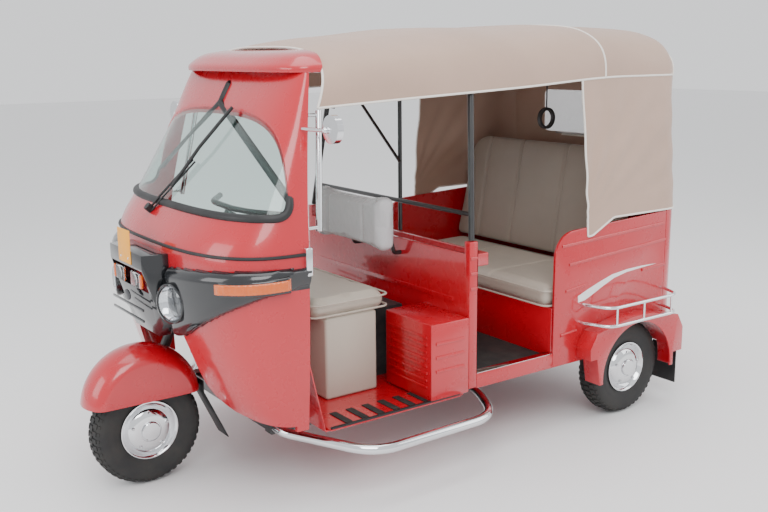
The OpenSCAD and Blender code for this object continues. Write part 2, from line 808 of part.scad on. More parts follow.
module rear_right_tyre() color("#1b1b1b") on_frame() mirror([0, 1, 0]) tyre_at(rear_hub);
module rear_right_wheel() color("silver") on_frame() mirror([0, 1, 0]) wheel_at(rear_hub, 1);

// ---- front fork ----
arm_y = 140;
module front_fork() color("#1a1a1c") on_frame() {
    rod(column_at(head_low - 34), column_at(bar_z), stem_r);
    rod(column_at(head_low - 36), column_at(head_low - 2), head_r);
    tube(bend([
        column_at(head_low - 20),
        column_at(head_low - 20) + [0, -arm_y, -10],
        [wheelbase - 60, -arm_y, tyre_r + 60],
        front_hub + [12, -arm_y, -12]
    ], 40), 20, [1, 0, 0.3]);
    translate(front_hub + [0, -arm_y, 0]) rotate([-90, 0, 0]) cylinder(h = arm_y + 60, r = stub_r);
    rod([wheelbase - 122, -arm_y, tyre_r + 183], [wheelbase - 122, -guard_half - gap, tyre_r + 183], 12);
}
module handlebar() color("#1a1a1c") on_frame() {
    top = column_at(bar_z + (12 + gap) * cos(rake));
    for (s = [-1, 1])
        tube(bend([top, top + [0, s * 170, 6], top + [-120, s * bar_half, 0]], 50), 12);
}
module guard_solid(out) translate([wheelbase + guard_ahead, 0, tyre_r + guard_lift]) rotate([90, 0, 0])
    rotate_extrude($fn = 96)
        intersection() {
            hull() {
                translate([0, -guard_half + out]) square([guard_r - 60, 2 * guard_half - 2 * out]);
                translate([guard_r - 60, 0]) scale([60 - out, guard_half - out]) circle(r = 1);
            }
            translate([0, -500]) square([1000, 1000]);
        }
module front_mudguard() color("crimson") on_frame()
    difference() {
        guard_solid(0);
        guard_solid(guard_t);
        translate([wheelbase - 500, -300, 0]) cube([1000, 600, tyre_r + guard_edge]);
    }
flap_w = 90;
flap_t = 5;
module front_flap() color("#111111") on_frame() {
    x = wheelbase + guard_ahead - guard_chord - gap;
    z = tyre_r + guard_edge;
    translate([0, 20, 0]) across(flap_w) polygon([
        [x, z + 26], [x, z - 20], [x - 96, 112], [x - 96 - flap_t, 112], [x - flap_t, z - 20], [x - flap_t, z + 26]
    ]);
}

chassis();
floor_pan();
cab_shell();
visor();
windscreen();
windscreen_seal();
belt_trim();
front_grille();
lamp_wings();
headlamps();
indicators();
number_plate();
wiper();
mirrors();
dashboard();
cab_rails();
step_plates();
step_bars();
seat_box();
driver_seat();
driver_backrest();
backrest_stay();
engine();
engine_box();
partition();
bench_base();
bench_cushion();
bench_backrest();
side_panels();
rear_panel();
rear_mudguards();
mudguard_rails();
tail_lamps();
hood_frame();
canopy();
side_curtains();
grab_handle();
rear_axle();
front_fork();
handlebar();
front_mudguard();
front_flap();
front_tyre();
front_wheel();
rear_left_tyre();
rear_left_wheel();
rear_right_tyre();
rear_right_wheel();
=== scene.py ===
"""Auto rickshaw: finishes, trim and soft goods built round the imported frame."""

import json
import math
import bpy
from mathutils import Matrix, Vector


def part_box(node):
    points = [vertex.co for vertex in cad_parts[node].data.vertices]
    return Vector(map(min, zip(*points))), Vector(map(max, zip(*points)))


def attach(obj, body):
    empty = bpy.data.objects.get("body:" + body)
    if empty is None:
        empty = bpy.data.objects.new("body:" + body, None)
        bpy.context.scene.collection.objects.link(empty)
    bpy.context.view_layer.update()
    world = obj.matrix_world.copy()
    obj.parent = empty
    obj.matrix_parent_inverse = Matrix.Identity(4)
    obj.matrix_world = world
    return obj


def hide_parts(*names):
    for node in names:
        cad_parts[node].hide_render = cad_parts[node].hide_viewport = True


bl_info = {
    "name": "Auto Rickshaw",
    "version": (1, 0, 0),
    "blender": (4, 5, 0),
    "location": "View3D > Sidebar > Rickshaw",
    "description": "Builds the paint, trim, soft goods and wheels of a three-wheeled passenger carrier",
    "category": "Object",
}

import bmesh
import bpy
import numpy as np
from mathutils import Matrix, Vector
from mathutils import noise as field

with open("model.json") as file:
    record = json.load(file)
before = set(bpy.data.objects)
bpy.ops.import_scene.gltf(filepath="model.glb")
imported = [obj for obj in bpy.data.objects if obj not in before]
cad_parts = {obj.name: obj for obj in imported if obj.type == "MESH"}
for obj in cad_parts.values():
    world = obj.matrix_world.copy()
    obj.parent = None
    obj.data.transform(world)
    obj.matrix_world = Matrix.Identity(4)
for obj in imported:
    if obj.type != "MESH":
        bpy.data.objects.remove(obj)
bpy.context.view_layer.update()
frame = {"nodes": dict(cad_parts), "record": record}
SLOTS = {s["node"]: s["material_slot"] for s in frame["record"]["subparts"]}

LOW, HIGH = (Vector(c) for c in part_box("rear_left_tyre"))
AXLE_X = (LOW.x + HIGH.x) / 2
TYRE_R = (HIGH.z - LOW.z) / 2
TRACK_HALF = (LOW.y + HIGH.y) / 2
LOW, HIGH = (Vector(c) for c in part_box("front_tyre"))
FRONT_X = (LOW.x + HIGH.x) / 2
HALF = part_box("partition")[1][1]

# Heights and places on the body, in metres forward of the rear axle and up from the ground
NOSE = FRONT_X - AXLE_X - 0.056
DOOR = FRONT_X - AXLE_X - 0.390
DECK, BELT = 0.335, 0.930
SCREEN_LOW, SCREEN_TOP = 1.045, 1.498
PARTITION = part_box("partition")[1][0] - AXLE_X


CLOTH = 0.0022  # thickness of the hood's cloth
WALL = 0.014  # thickness of the cab's skin
PLATE_HOLE_Z = 0.877  # height of the number plate's screws
LAMP_AT, LAMP_TURN = (1.945, 0.245, 0.745), 22  # the left headlamp, and its turn outwards in degrees

# The opening for the front wheel: half its width at each height
ARCH = [(0.205, 0.640), (0.248, 0.560), (0.262, 0.500), (0.280, 0.440), (0.318, 0.392), (0.395, 0.352),
        (0.500, 0.330), (0.640, 0.316), (0.640, 0.0)]

# The visor's height, and how far it is set in there
VISOR = [(1.5323, 0.003), (1.546, 0.0), (1.574, 0.024), (1.598, 0.070), (1.610, 0.150)]
VISOR_WALL = 0.008

# The left bumper guard's outline, seen from ahead
GUARD = [(0.180, 0.850), (0.186, 0.618), (0.205, 0.606), (0.262, 0.622), (0.540, 0.774), (0.596, 0.812),
         (0.600, 0.878), (0.585, 0.892), (0.300, 0.872), (0.200, 0.862)]

# Lamps of the stage: name, place, aim, size and power
LAMPS = (("key", (2.6, 4.2, 4.6), (0, 0, 0.7), 3.2, 190), ("fill", (-4.2, 3.2, 3.0), (0, 0, 0.8), 3.6, 80),
         ("top", (0.4, 0.2, 5.2), (0, 0, 0.8), 4.0, 120), ("nose", (5.2, -0.6, 2.2), (0.8, 0, 0.8), 2.4, 60))

# The camera's place, its yaw, pitch and roll in degrees, and its lens in millimetres
CAMERA_AT, CAMERA_TURN, CAMERA_LENS = (2.3166, 3.349, 1.602), (-125.18, -12.038, -0.5687), 45.1

# A tyre's half profile and the wheel's face and back, as (radius, offset from the middle plane)
TYRE = [(0.1005, 0.036), (0.113, 0.042), (0.135, 0.0495), (0.150, 0.0525), (0.158, 0.0520), (0.162, 0.0530),
        (0.176, 0.0528), (0.188, 0.0505), (0.1975, 0.0455), (0.2035, 0.036), (0.2060, 0.020), (0.2065, 0.0)]
RIM = [(0.1040, -0.050), (0.1120, -0.050), (0.1125, -0.046), (0.1050, -0.040), (0.1005, -0.030),
       (0.1005, 0.030), (0.1050, 0.040), (0.1125, 0.046), (0.1120, 0.0495), (0.1080, 0.0500),
       (0.1040, 0.0470), (0.0990, 0.0360), (0.0930, 0.0300), (0.0900, 0.0320), (0.0860, 0.0400),
       (0.0780, 0.0480), (0.0660, 0.0535), (0.0520, 0.0560), (0.0420, 0.0565), (0.0410, 0.0540),
       (0.0370, 0.0545), (0.0360, 0.0630), (0.0330, 0.0660), (0.0200, 0.0672), (0.0001, 0.0675)]
BARREL = [(0.0001, -0.030), (0.0600, -0.030), (0.0800, -0.036), (0.0950, -0.030), (0.1000, -0.036),
          (0.1040, -0.050)]

# Rows of tread blocks: place across, width, length, radius and tilt
TREAD = ((0.0, 0.024, 0.020, 0.2085, 0.0), (0.0285, 0.020, 0.018, 0.2065, 0.35),
         (-0.0285, 0.020, 0.018, 0.2065, -0.35), (0.0455, 0.010, 0.013, 0.1975, 0.95),
         (-0.0455, 0.010, 0.013, 0.1975, -0.95))

# Side view of the pressed lines and of the stripe, and the left step bar and guard rail seen from above
SIDE_LINES = ([(0.404, 0.806), (-0.235, 0.836)], [(0.359, 0.723), (-0.249, 0.760)],
              [(0.376, 0.611), (0.262, 0.622)], [(-0.10, 0.637), (-0.258, 0.646)],
              [(0.400, 0.423), (0.306, 0.429)])
STRIPE = [(0.300, 0.552), (0.302, 0.580), (0.24, 0.602), (0.16, 0.627), (0.094, 0.645), (0.0, 0.655),
          (-0.10, 0.658), (-0.195, 0.655), (-0.10, 0.650), (0.0, 0.643), (0.08, 0.628), (0.15, 0.602),
          (0.21, 0.576), (0.26, 0.556)]
STEP_BAR = [(1.630, 0.355, 0.2327), (1.630, 0.415, 0.2327), (1.430, 0.718, 0.2087), (0.860, 0.704, 0.2087),
            (0.770, 0.500, 0.2327), (0.770, 0.355, 0.2327)]
GUARD_RAIL = [(0.276, 0.600), (0.276, 0.616), (0.236, 0.730), (-0.190, 0.730), (-0.232, 0.616), (-0.232, 0.600)]


# ---- settings a user may change ----


class RickshawColours(bpy.types.PropertyGroup):
    """Colours of the finishes"""

    paint: bpy.props.FloatVectorProperty(
        name="Paint", description="Colour of the painted panels", subtype="COLOR", size=3,
        default=(0.50, 0.0035, 0.014), min=0, max=1)
    canvas: bpy.props.FloatVectorProperty(
        name="Canvas", description="Colour of the hood and its curtains", subtype="COLOR", size=3,
        default=(0.45, 0.305, 0.235), min=0, max=1)
    seat: bpy.props.FloatVectorProperty(
        name="Seats", description="Colour of the seat covers", subtype="COLOR", size=3,
        default=(0.50, 0.445, 0.37), min=0, max=1)
    back: bpy.props.FloatVectorProperty(
        name="Backrest", description="Colour of the passengers' backrest", subtype="COLOR", size=3,
        default=(0.26, 0.215, 0.175), min=0, max=1)


class RickshawSizes(bpy.types.PropertyGroup):
    """Sizes of the details"""

    seal_width: bpy.props.FloatProperty(
        name="Seal Width", description="Width of the rubber round the windscreen", default=0.030,
        min=0.015, max=0.05, unit="LENGTH")
    piping: bpy.props.FloatProperty(
        name="Piping", description="Radius of the piping on the hood", default=0.0045,
        min=0.002, max=0.008, unit="LENGTH")
    cushion_rise: bpy.props.FloatProperty(
        name="Cushion Rise", description="How far a cushion's face may swell", default=0.016,
        min=0.0, max=0.03, unit="LENGTH")
    tread_blocks: bpy.props.IntProperty(
        name="Tread Blocks", description="Blocks in one row of a tyre's tread", default=46,
        min=24, max=80)
    louvres: bpy.props.IntProperty(
        name="Louvres", description="Slats in the engine cover's front", default=8, min=4, max=14)


# ---- geometry helpers ----


def at(x, y, z):
    """A point given forward of the rear axle, to the left and up."""
    return Vector((x + AXLE_X, y, z))


def monotone(table, z):
    """Smooth values between a table's rows, without overshoot."""
    t = np.asarray(table, float)
    x, y = t[:, 0], t[:, 1:]
    h, d = np.diff(x), np.diff(y, axis=0) / np.diff(x)[:, None]
    m = np.zeros_like(y)
    same = d[:-1] * d[1:] > 0
    w1, w2 = (2 * h[1:] + h[:-1])[:, None], (h[1:] + 2 * h[:-1])[:, None]
    with np.errstate(divide="ignore", invalid="ignore"):
        m[1:-1] = np.where(same, (w1 + w2) / (w1 / d[:-1] + w2 / d[1:]), 0)
    m[0], m[-1] = d[0], d[-1]
    z = min(max(z, x[0]), x[-1])
    i = min(max(int(np.searchsorted(x, z)) - 1, 0), len(x) - 2)
    s = (z - x[i]) / h[i]
    a, b = 2 * s**3 - 3 * s**2 + 1, s**3 - 2 * s**2 + s
    c, e = 3 * s**2 - 2 * s**3, s**3 - s**2
    return a * y[i] + b * h[i] * m[i] + c * y[i + 1] + e * h[i] * m[i + 1]


def power(v, e):
    return math.copysign(abs(v) ** e, v)


def new_mesh(name, points, faces, smooth=True):
    mesh = bpy.data.meshes.new(name)
    mesh.from_pydata([tuple(p) for p in points], [], faces)
    mesh.validate()
    obj = bpy.data.objects.new(name, mesh)
    bpy.context.scene.collection.objects.link(obj)
    if smooth:
        mesh.shade_smooth()
    return obj


def turn_out(obj, merge=1e-5):
    """Merges doubles and turns every face outwards."""
    bm = bmesh.new()
    bm.from_mesh(obj.data)
    bmesh.ops.remove_doubles(bm, verts=bm.verts, dist=merge)
    bmesh.ops.recalc_face_normals(bm, faces=bm.faces)
    bm.to_mesh(obj.data)
    bm.free()
    return obj


def crease(obj, angle=35):
    """Smooth shading with sharp edges kept."""
    obj.data.shade_smooth()
    obj.data.set_sharp_from_angle(angle=math.radians(angle))
    return obj


def baked(obj):
    """Turns an object's live modifiers into its plain mesh."""
    graph = bpy.context.evaluated_depsgraph_get()
    graph.update()
    mesh = bpy.data.meshes.new_from_object(obj.evaluated_get(graph), depsgraph=graph)
    obj.modifiers.clear()
    obj.data = mesh
    return obj


def grid(rows, closed=False, caps=False):
    """Points and faces through rows of equal length."""
    n = len(rows[0])
    points = [p for row in rows for p in row]
    faces = []
    for i in range(len(rows) - 1):
        for j in range(n if closed else n - 1):
            k = (j + 1) % n
            faces.append((i * n + j, i * n + k, (i + 1) * n + k, (i + 1) * n + j))
    if caps:
        faces.append(tuple(range(n - 1, -1, -1)))
        faces.append(tuple((len(rows) - 1) * n + j for j in range(n)))
    return points, faces


def loft(name, rows, closed=False, caps=False, angle=35):
    obj = new_mesh(name, *grid(rows, closed, caps))
    return crease(turn_out(obj), angle)


def bent(path, radius, steps=6):
    """A path with its corners rounded."""
    points = [Vector(path[0])]
    for i in range(1, len(path) - 1):
        p = Vector(path[i])
        before, after = Vector(path[i - 1]) - p, Vector(path[i + 1]) - p
        r = min(radius, before.length * 0.49, after.length * 0.49)
        a, b = before.normalized() * r, after.normalized() * r
        for k in range(steps + 1):
            t = k / steps
            points.append(p + a * (1 - t) ** 2 + b * t**2)
    points.append(Vector(path[-1]))
    return points


def frames(points, up=Vector((0, 0, 1)), closed=False):
    """A tangent, side and normal at each point of a path, carried along without twist."""
    n = len(points)
    found, side = [], None
    for i in range(n):
        a = points[i - 1] if closed or i else points[0]
        b = points[(i + 1) % n] if closed or i < n - 1 else points[-1]
        t = (b - a).normalized()
        if side is None:
            side = t.cross(up)
            if side.length < 1e-4:
                side = t.cross(Vector((1, 0, 0)))
        side = (side - t * side.dot(t)).normalized()
        found.append((t, side, side.cross(t).normalized()))
    return found


def tube(name, points, radius, sides=20, closed=False):
    """A round bar along a path, with closed ends."""
    points = [Vector(p) for p in points]
    rows = []
    for p, (_, s, u) in zip(points, frames(points, closed=closed)):
        rows.append([p + radius * (s * math.cos(a) + u * math.sin(a))
                     for a in (2 * math.pi * k / sides for k in range(sides))])
    if closed:
        rows.append(rows[0])
    return loft(name, rows, closed=True, caps=not closed, angle=50)


def sweep(name, points, normals, profile, closed=False, angle=40):
    """A profile of (across, out) pairs carried along a path on a surface."""
    rows = []
    n = len(points)
    for i in range(n):
        a = points[i - 1] if closed or i else points[0]
        b = points[(i + 1) % n] if closed or i < n - 1 else points[-1]
        t = (b - a).normalized()
        out = (normals[i] - t * normals[i].dot(t)).normalized()
        side = t.cross(out)
        rows.append([points[i] + side * u + out * v for u, v in profile])
    if closed:
        rows.append(rows[0])
    return loft(name, rows, closed=True, caps=not closed, angle=angle)


def rounded(points, radius, steps=8):
    """A closed flat outline with rounded corners; radius is one number or one per corner."""
    out, n = [], len(points)
    for i, p in enumerate(points):
        r = radius[i] if isinstance(radius, (list, tuple)) else radius
        p, a, b = (Vector(q).to_2d() for q in (p, points[i - 1], points[(i + 1) % n]))
        if r <= 0:
            out.append(tuple(p))
            continue
        va, vb = a - p, b - p
        half = va.angle(vb) / 2
        reach = min(r / math.tan(half), va.length * 0.49, vb.length * 0.49)
        pa, pb = p + va.normalized() * reach, p + vb.normalized() * reach
        for k in range(steps + 1):
            t = k / steps
            q = pa * (1 - t) ** 2 + p * 2 * t * (1 - t) + pb * t**2
            out.append(tuple(q))
    return out


def plate(name, outline, place, low, high, bevel=0.002, segments=2):
    """A flat outline given thickness between two levels; place turns (u, v, level) into a point."""
    n = len(outline)
    points = [place(u, v, low) for u, v in outline] + [place(u, v, high) for u, v in outline]
    faces = [tuple(range(n - 1, -1, -1)), tuple(range(n, 2 * n))]
    faces += [(i, (i + 1) % n, n + (i + 1) % n, n + i) for i in range(n)]
    obj = turn_out(new_mesh(name, points, faces))
    if bevel:
        mod = obj.modifiers.new("Edge", "BEVEL")
        mod.width, mod.segments, mod.limit_method = bevel, segments, "ANGLE"
        mod.angle_limit = math.radians(40)
        mod.harden_normals = False
        baked(obj)
    return crease(obj, 30)


def box(name, low, high, bevel=0.002, segments=2):
    a, b = Vector(low), Vector(high)
    outline = [(a.x, a.y), (b.x, a.y), (b.x, b.y), (a.x, b.y)]
    return plate(name, outline, lambda u, v, w: Vector((u, v, w)), a.z, b.z, bevel, segments)


def cut(obj, cutter, how="DIFFERENCE"):
    """Cuts a shape with another, which is then removed."""
    mod = obj.modifiers.new("Cut", "BOOLEAN")
    mod.operation, mod.solver, mod.object = how, "EXACT", cutter
    baked(obj)
    bpy.data.objects.remove(cutter)
    return obj


def joined(name, objs):
    """One object from several, keeping each one's material."""
    objs = [o for o in objs if o is not None]
    with bpy.context.temp_override(
        active_object=objs[0], selected_editable_objects=objs, selected_objects=objs, object=objs[0]
    ):
        bpy.ops.object.join()
    objs[0].name = objs[0].data.name = name
    return objs[0]


def soft_box(name, low, high, radius, steps=4):
    """A block with rounded edges, ready to be stuffed."""
    obj = box(name, low, high, bevel=radius, segments=steps)
    return crease(turn_out(obj), 60)


def softened(node, bevel=0.002, segments=2, angle=30):
    """A copy of a hard node with its sharp edges eased."""
    src = frame["nodes"][node]
    obj = bpy.data.objects.new(node + "_eased", src.data.copy())
    bpy.context.scene.collection.objects.link(obj)
    obj.data.materials.clear()
    bm = bmesh.new()
    bm.from_mesh(obj.data)
    bmesh.ops.remove_doubles(bm, verts=bm.verts, dist=1e-5)
    bmesh.ops.dissolve_limit(bm, angle_limit=math.radians(0.6), verts=bm.verts, edges=bm.edges)
    bm.to_mesh(obj.data)
    bm.free()
    mod = obj.modifiers.new("Edge", "BEVEL")
    mod.width, mod.segments, mod.limit_method = bevel, segments, "ANGLE"
    mod.angle_limit = math.radians(angle)
    mod.use_clamp_overlap = True
    baked(obj)
    return crease(obj, 32)


def settle(obj, body, slot, material, *nodes):
    """Gives a finished piece its finish, its body and the node it stands for."""
    obj.data.materials.clear()
    obj.data.materials.append(material)
    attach(obj, body)
    if nodes:
        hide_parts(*nodes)
    return obj


def dress(obj, body, slot, *nodes):
    """As settle, for a piece whose faces already have their materials."""
    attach(obj, body)
    if nodes:
        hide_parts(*nodes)
    return obj


def painted(obj, material):
    obj.data.materials.clear()
    obj.data.materials.append(material)
    return obj


# ---- shader groups shared by the finishes ----


def node_group(name, inputs, outputs):
    tree = bpy.data.node_groups.new(name, "ShaderNodeTree")
    for label, kind, value in inputs:
        socket = tree.interface.new_socket(label, in_out="INPUT", socket_type=kind)
        if value is not None:
            socket.default_value = value
    for label, kind in outputs:
        tree.interface.new_socket(label, in_out="OUTPUT", socket_type=kind)
    return tree, tree.nodes.new("NodeGroupInput"), tree.nodes.new("NodeGroupOutput")


def noise_node(tree, detail=4.0, roughness=0.55):
    node = tree.nodes.new("ShaderNodeTexNoise")
    node.inputs["Detail"].default_value = detail
    node.inputs["Roughness"].default_value = roughness
    return node


def add(tree, kind, values=None, **settings):
    """A node with its settings, and the values of its unlinked inputs."""
    node = tree.nodes.new(kind)
    for key, value in settings.items():
        setattr(node, key, value)
    for key, value in (values or {}).items():
        node.inputs[key].default_value = value
    return node


def wire(tree, nodes, links):
    """Links written as node.output>node.input, with _ for a space in a socket's name."""
    pick = lambda sockets, key: sockets[int(key) if key.isdigit() else key.replace("_", " ")]
    for pair in links.split():
        (a, out), (b, into) = (end.split(".") for end in pair.split(">"))
        tree.links.new(pick(nodes[a].outputs, out), pick(nodes[b].inputs, into))
    return tree


def speckle_group():
    """Two tones mixed in soft patches, with a little more tone near the ground."""
    tree, inside, outside = node_group(
        "Speckle",
        [("Vector", "NodeSocketVector", None), ("Tone A", "NodeSocketColor", None),
         ("Tone B", "NodeSocketColor", None), ("Scale", "NodeSocketFloat", 8.0),
         ("Amount", "NodeSocketFloat", 0.3), ("Low Dust", "NodeSocketFloat", 0.0)],
        [("Color", "NodeSocketColor"), ("Mask", "NodeSocketFloat")])
    nodes = {
        "in": inside, "out": outside, "noise": noise_node(tree, 6.0),
        "ramp": add(tree, "ShaderNodeMapRange", {"From Min": 0.35, "From Max": 0.7}),
        "split": add(tree, "ShaderNodeSeparateXYZ"),
        "low": add(tree, "ShaderNodeMapRange", {"From Min": 0.55, "From Max": 0.05}),
        "total": add(tree, "ShaderNodeMath", operation="ADD", use_clamp=True),
        "mix": add(tree, "ShaderNodeMix", data_type="RGBA"),
    }
    for key in ("scale", "dust", "dusty"):
        nodes[key] = add(tree, "ShaderNodeMath", operation="MULTIPLY")
    return wire(tree, nodes, """
        in.Vector>noise.Vector in.Scale>noise.Scale noise.Fac>ramp.Value ramp.Result>scale.0 in.Amount>scale.1
        in.Vector>split.0 split.Z>low.Value low.Result>dust.0 in.Low_Dust>dust.1 dust.0>dusty.0
        ramp.Result>dusty.1 scale.0>total.0 dusty.0>total.1 total.0>mix.Factor in.Tone_A>mix.A in.Tone_B>mix.B
        mix.Result>out.Color total.0>out.Mask""")


def polish_group():
    """A roughness that drifts between two values."""
    tree, inside, outside = node_group(
        "Polish",
        [("Vector", "NodeSocketVector", None), ("Scale", "NodeSocketFloat", 12.0),
         ("Smooth", "NodeSocketFloat", 0.2), ("Worn", "NodeSocketFloat", 0.4)],
        [("Roughness", "NodeSocketFloat")])
    nodes = {"in": inside, "out": outside, "noise": noise_node(tree, 5.0),
             "ramp": add(tree, "ShaderNodeMapRange", {"From Min": 0.3, "From Max": 0.75})}
    return wire(tree, nodes, """
        in.Vector>noise.Vector in.Scale>noise.Scale noise.Fac>ramp.Value in.Smooth>ramp.To_Min
        in.Worn>ramp.To_Max ramp.Result>out.Roughness""")


def grain_group():
    """A fine uneven surface, from orange peel in paint to leather grain."""
    tree, inside, outside = node_group(
        "Grain",
        [("Vector", "NodeSocketVector", None), ("Scale", "NodeSocketFloat", 300.0),
         ("Cells", "NodeSocketFloat", 0.0), ("Strength", "NodeSocketFloat", 0.1),
         ("Depth", "NodeSocketFloat", 0.001)],
        [("Normal", "NodeSocketVector"), ("Height", "NodeSocketFloat")])
    nodes = {"in": inside, "out": outside, "noise": noise_node(tree, 3.0),
             "cells": add(tree, "ShaderNodeTexVoronoi"), "mix": add(tree, "ShaderNodeMix"),
             "bump": add(tree, "ShaderNodeBump")}
    return wire(tree, nodes, """
        in.Vector>noise.Vector in.Scale>noise.Scale in.Vector>cells.Vector in.Scale>cells.Scale
        in.Cells>mix.Factor noise.Fac>mix.A cells.Distance>mix.B mix.Result>bump.Height
        in.Strength>bump.Strength in.Depth>bump.Distance bump.Normal>out.Normal mix.Result>out.Height""")


def weave_group():
    """Crossed threads with soft slubs."""
    tree, inside, outside = node_group(
        "Weave",
        [("Vector", "NodeSocketVector", None), ("Threads", "NodeSocketFloat", 160.0),
         ("Strength", "NodeSocketFloat", 0.3), ("Depth", "NodeSocketFloat", 0.0006)],
        [("Normal", "NodeSocketVector"), ("Height", "NodeSocketFloat")])
    nodes = {"in": inside, "out": outside, "slubs": noise_node(tree, 5.0),
             "both": add(tree, "ShaderNodeMath", operation="MULTIPLY"),
             "whole": add(tree, "ShaderNodeMath", operation="ADD"), "bump": add(tree, "ShaderNodeBump")}
    nodes["slubs"].inputs["Scale"].default_value = 26.0
    for key, axis in (("warp", "X"), ("weft", "Z")):
        nodes[key] = add(tree, "ShaderNodeTexWave", {"Distortion": 0.6, "Detail": 1.0}, bands_direction=axis)
    return wire(tree, nodes, """
        in.Vector>warp.Vector in.Threads>warp.Scale in.Vector>weft.Vector in.Threads>weft.Scale
        in.Vector>slubs.Vector warp.Fac>both.0 weft.Fac>both.1 both.0>whole.0 slubs.Fac>whole.1
        whole.0>bump.Height in.Strength>bump.Strength in.Depth>bump.Distance bump.Normal>out.Normal
        whole.0>out.Height""")


GROUPS = {}
FINISH = {}


def place_group(tree, name, **values):
    node = tree.nodes.new("ShaderNodeGroup")
    node.node_tree = GROUPS[name]
    for label, value in values.items():
        node.inputs[label.replace("_", " ")].default_value = value
    return node


def rgba(c, k=1.0):
    return (c[0] * k, c[1] * k, c[2] * k, 1.0)


def finish(name, tone, second=None, patches=(8.0, 0.3, 0.0), rough=(0.2, 0.35), polish=14.0,
           grain=(300.0, 0.0, 0.05, 0.0005), weave=None, **shader):
    """A finish whose colour, roughness and grain vary over the surface; the rest are plain values."""
    mat = bpy.data.materials.new(name)
    mat.use_nodes = True
    tree = mat.node_tree
    main = tree.nodes["Principled BSDF"]
    where = tree.nodes.new("ShaderNodeTexCoord").outputs["Object"]
    link = tree.links.new
    spots = place_group(tree, "Speckle", Tone_A=rgba(tone), Tone_B=rgba(second or [c * 0.7 for c in tone]),
                        Scale=patches[0], Amount=patches[1], Low_Dust=patches[2])
    gloss = place_group(tree, "Polish", Scale=polish, Smooth=rough[0], Worn=rough[1])
    if weave:
        relief = place_group(tree, "Weave", Threads=weave[0], Strength=weave[1], Depth=weave[2])
    else:
        relief = place_group(tree, "Grain", Scale=grain[0], Cells=grain[1], Strength=grain[2], Depth=grain[3])
    for node in (spots, gloss, relief):
        link(where, node.inputs["Vector"])
    link(spots.outputs["Color"], main.inputs["Base Color"])
    link(gloss.outputs["Roughness"], main.inputs["Roughness"])
    link(relief.outputs["Normal"], main.inputs["Normal"])
    for label, value in shader.items():
        main.inputs[label.replace("_", " ")].default_value = value
    FINISH[name] = mat
    return mat


def clear_finish(name, tone, rough, alpha=None, shade=(0.8, 0.9, 0.86)):
    """Glass or film: light that only passes through for a shadow is merely tinted."""
    mat = finish(name, tone, patches=(3.0, 0.0, 0.0), rough=rough, grain=(40.0, 0.0, 0.02, 0.0002),
                 IOR=1.45)
    tree = mat.node_tree
    main, out = tree.nodes["Principled BSDF"], tree.nodes["Material Output"]
    if alpha is None:
        main.inputs["Transmission Weight"].default_value = 1.0
    else:
        main.inputs["Alpha"].default_value = alpha
    path = tree.nodes.new("ShaderNodeLightPath")
    through = tree.nodes.new("ShaderNodeBsdfTransparent")
    through.inputs["Color"].default_value = rgba(shade)
    mix = tree.nodes.new("ShaderNodeMixShader")
    tree.links.new(path.outputs["Is Shadow Ray"], mix.inputs["Fac"])
    tree.links.new(main.outputs["BSDF"], mix.inputs[1])
    tree.links.new(through.outputs["BSDF"], mix.inputs[2])
    tree.links.new(mix.outputs["Shader"], out.inputs["Surface"])
    return mat


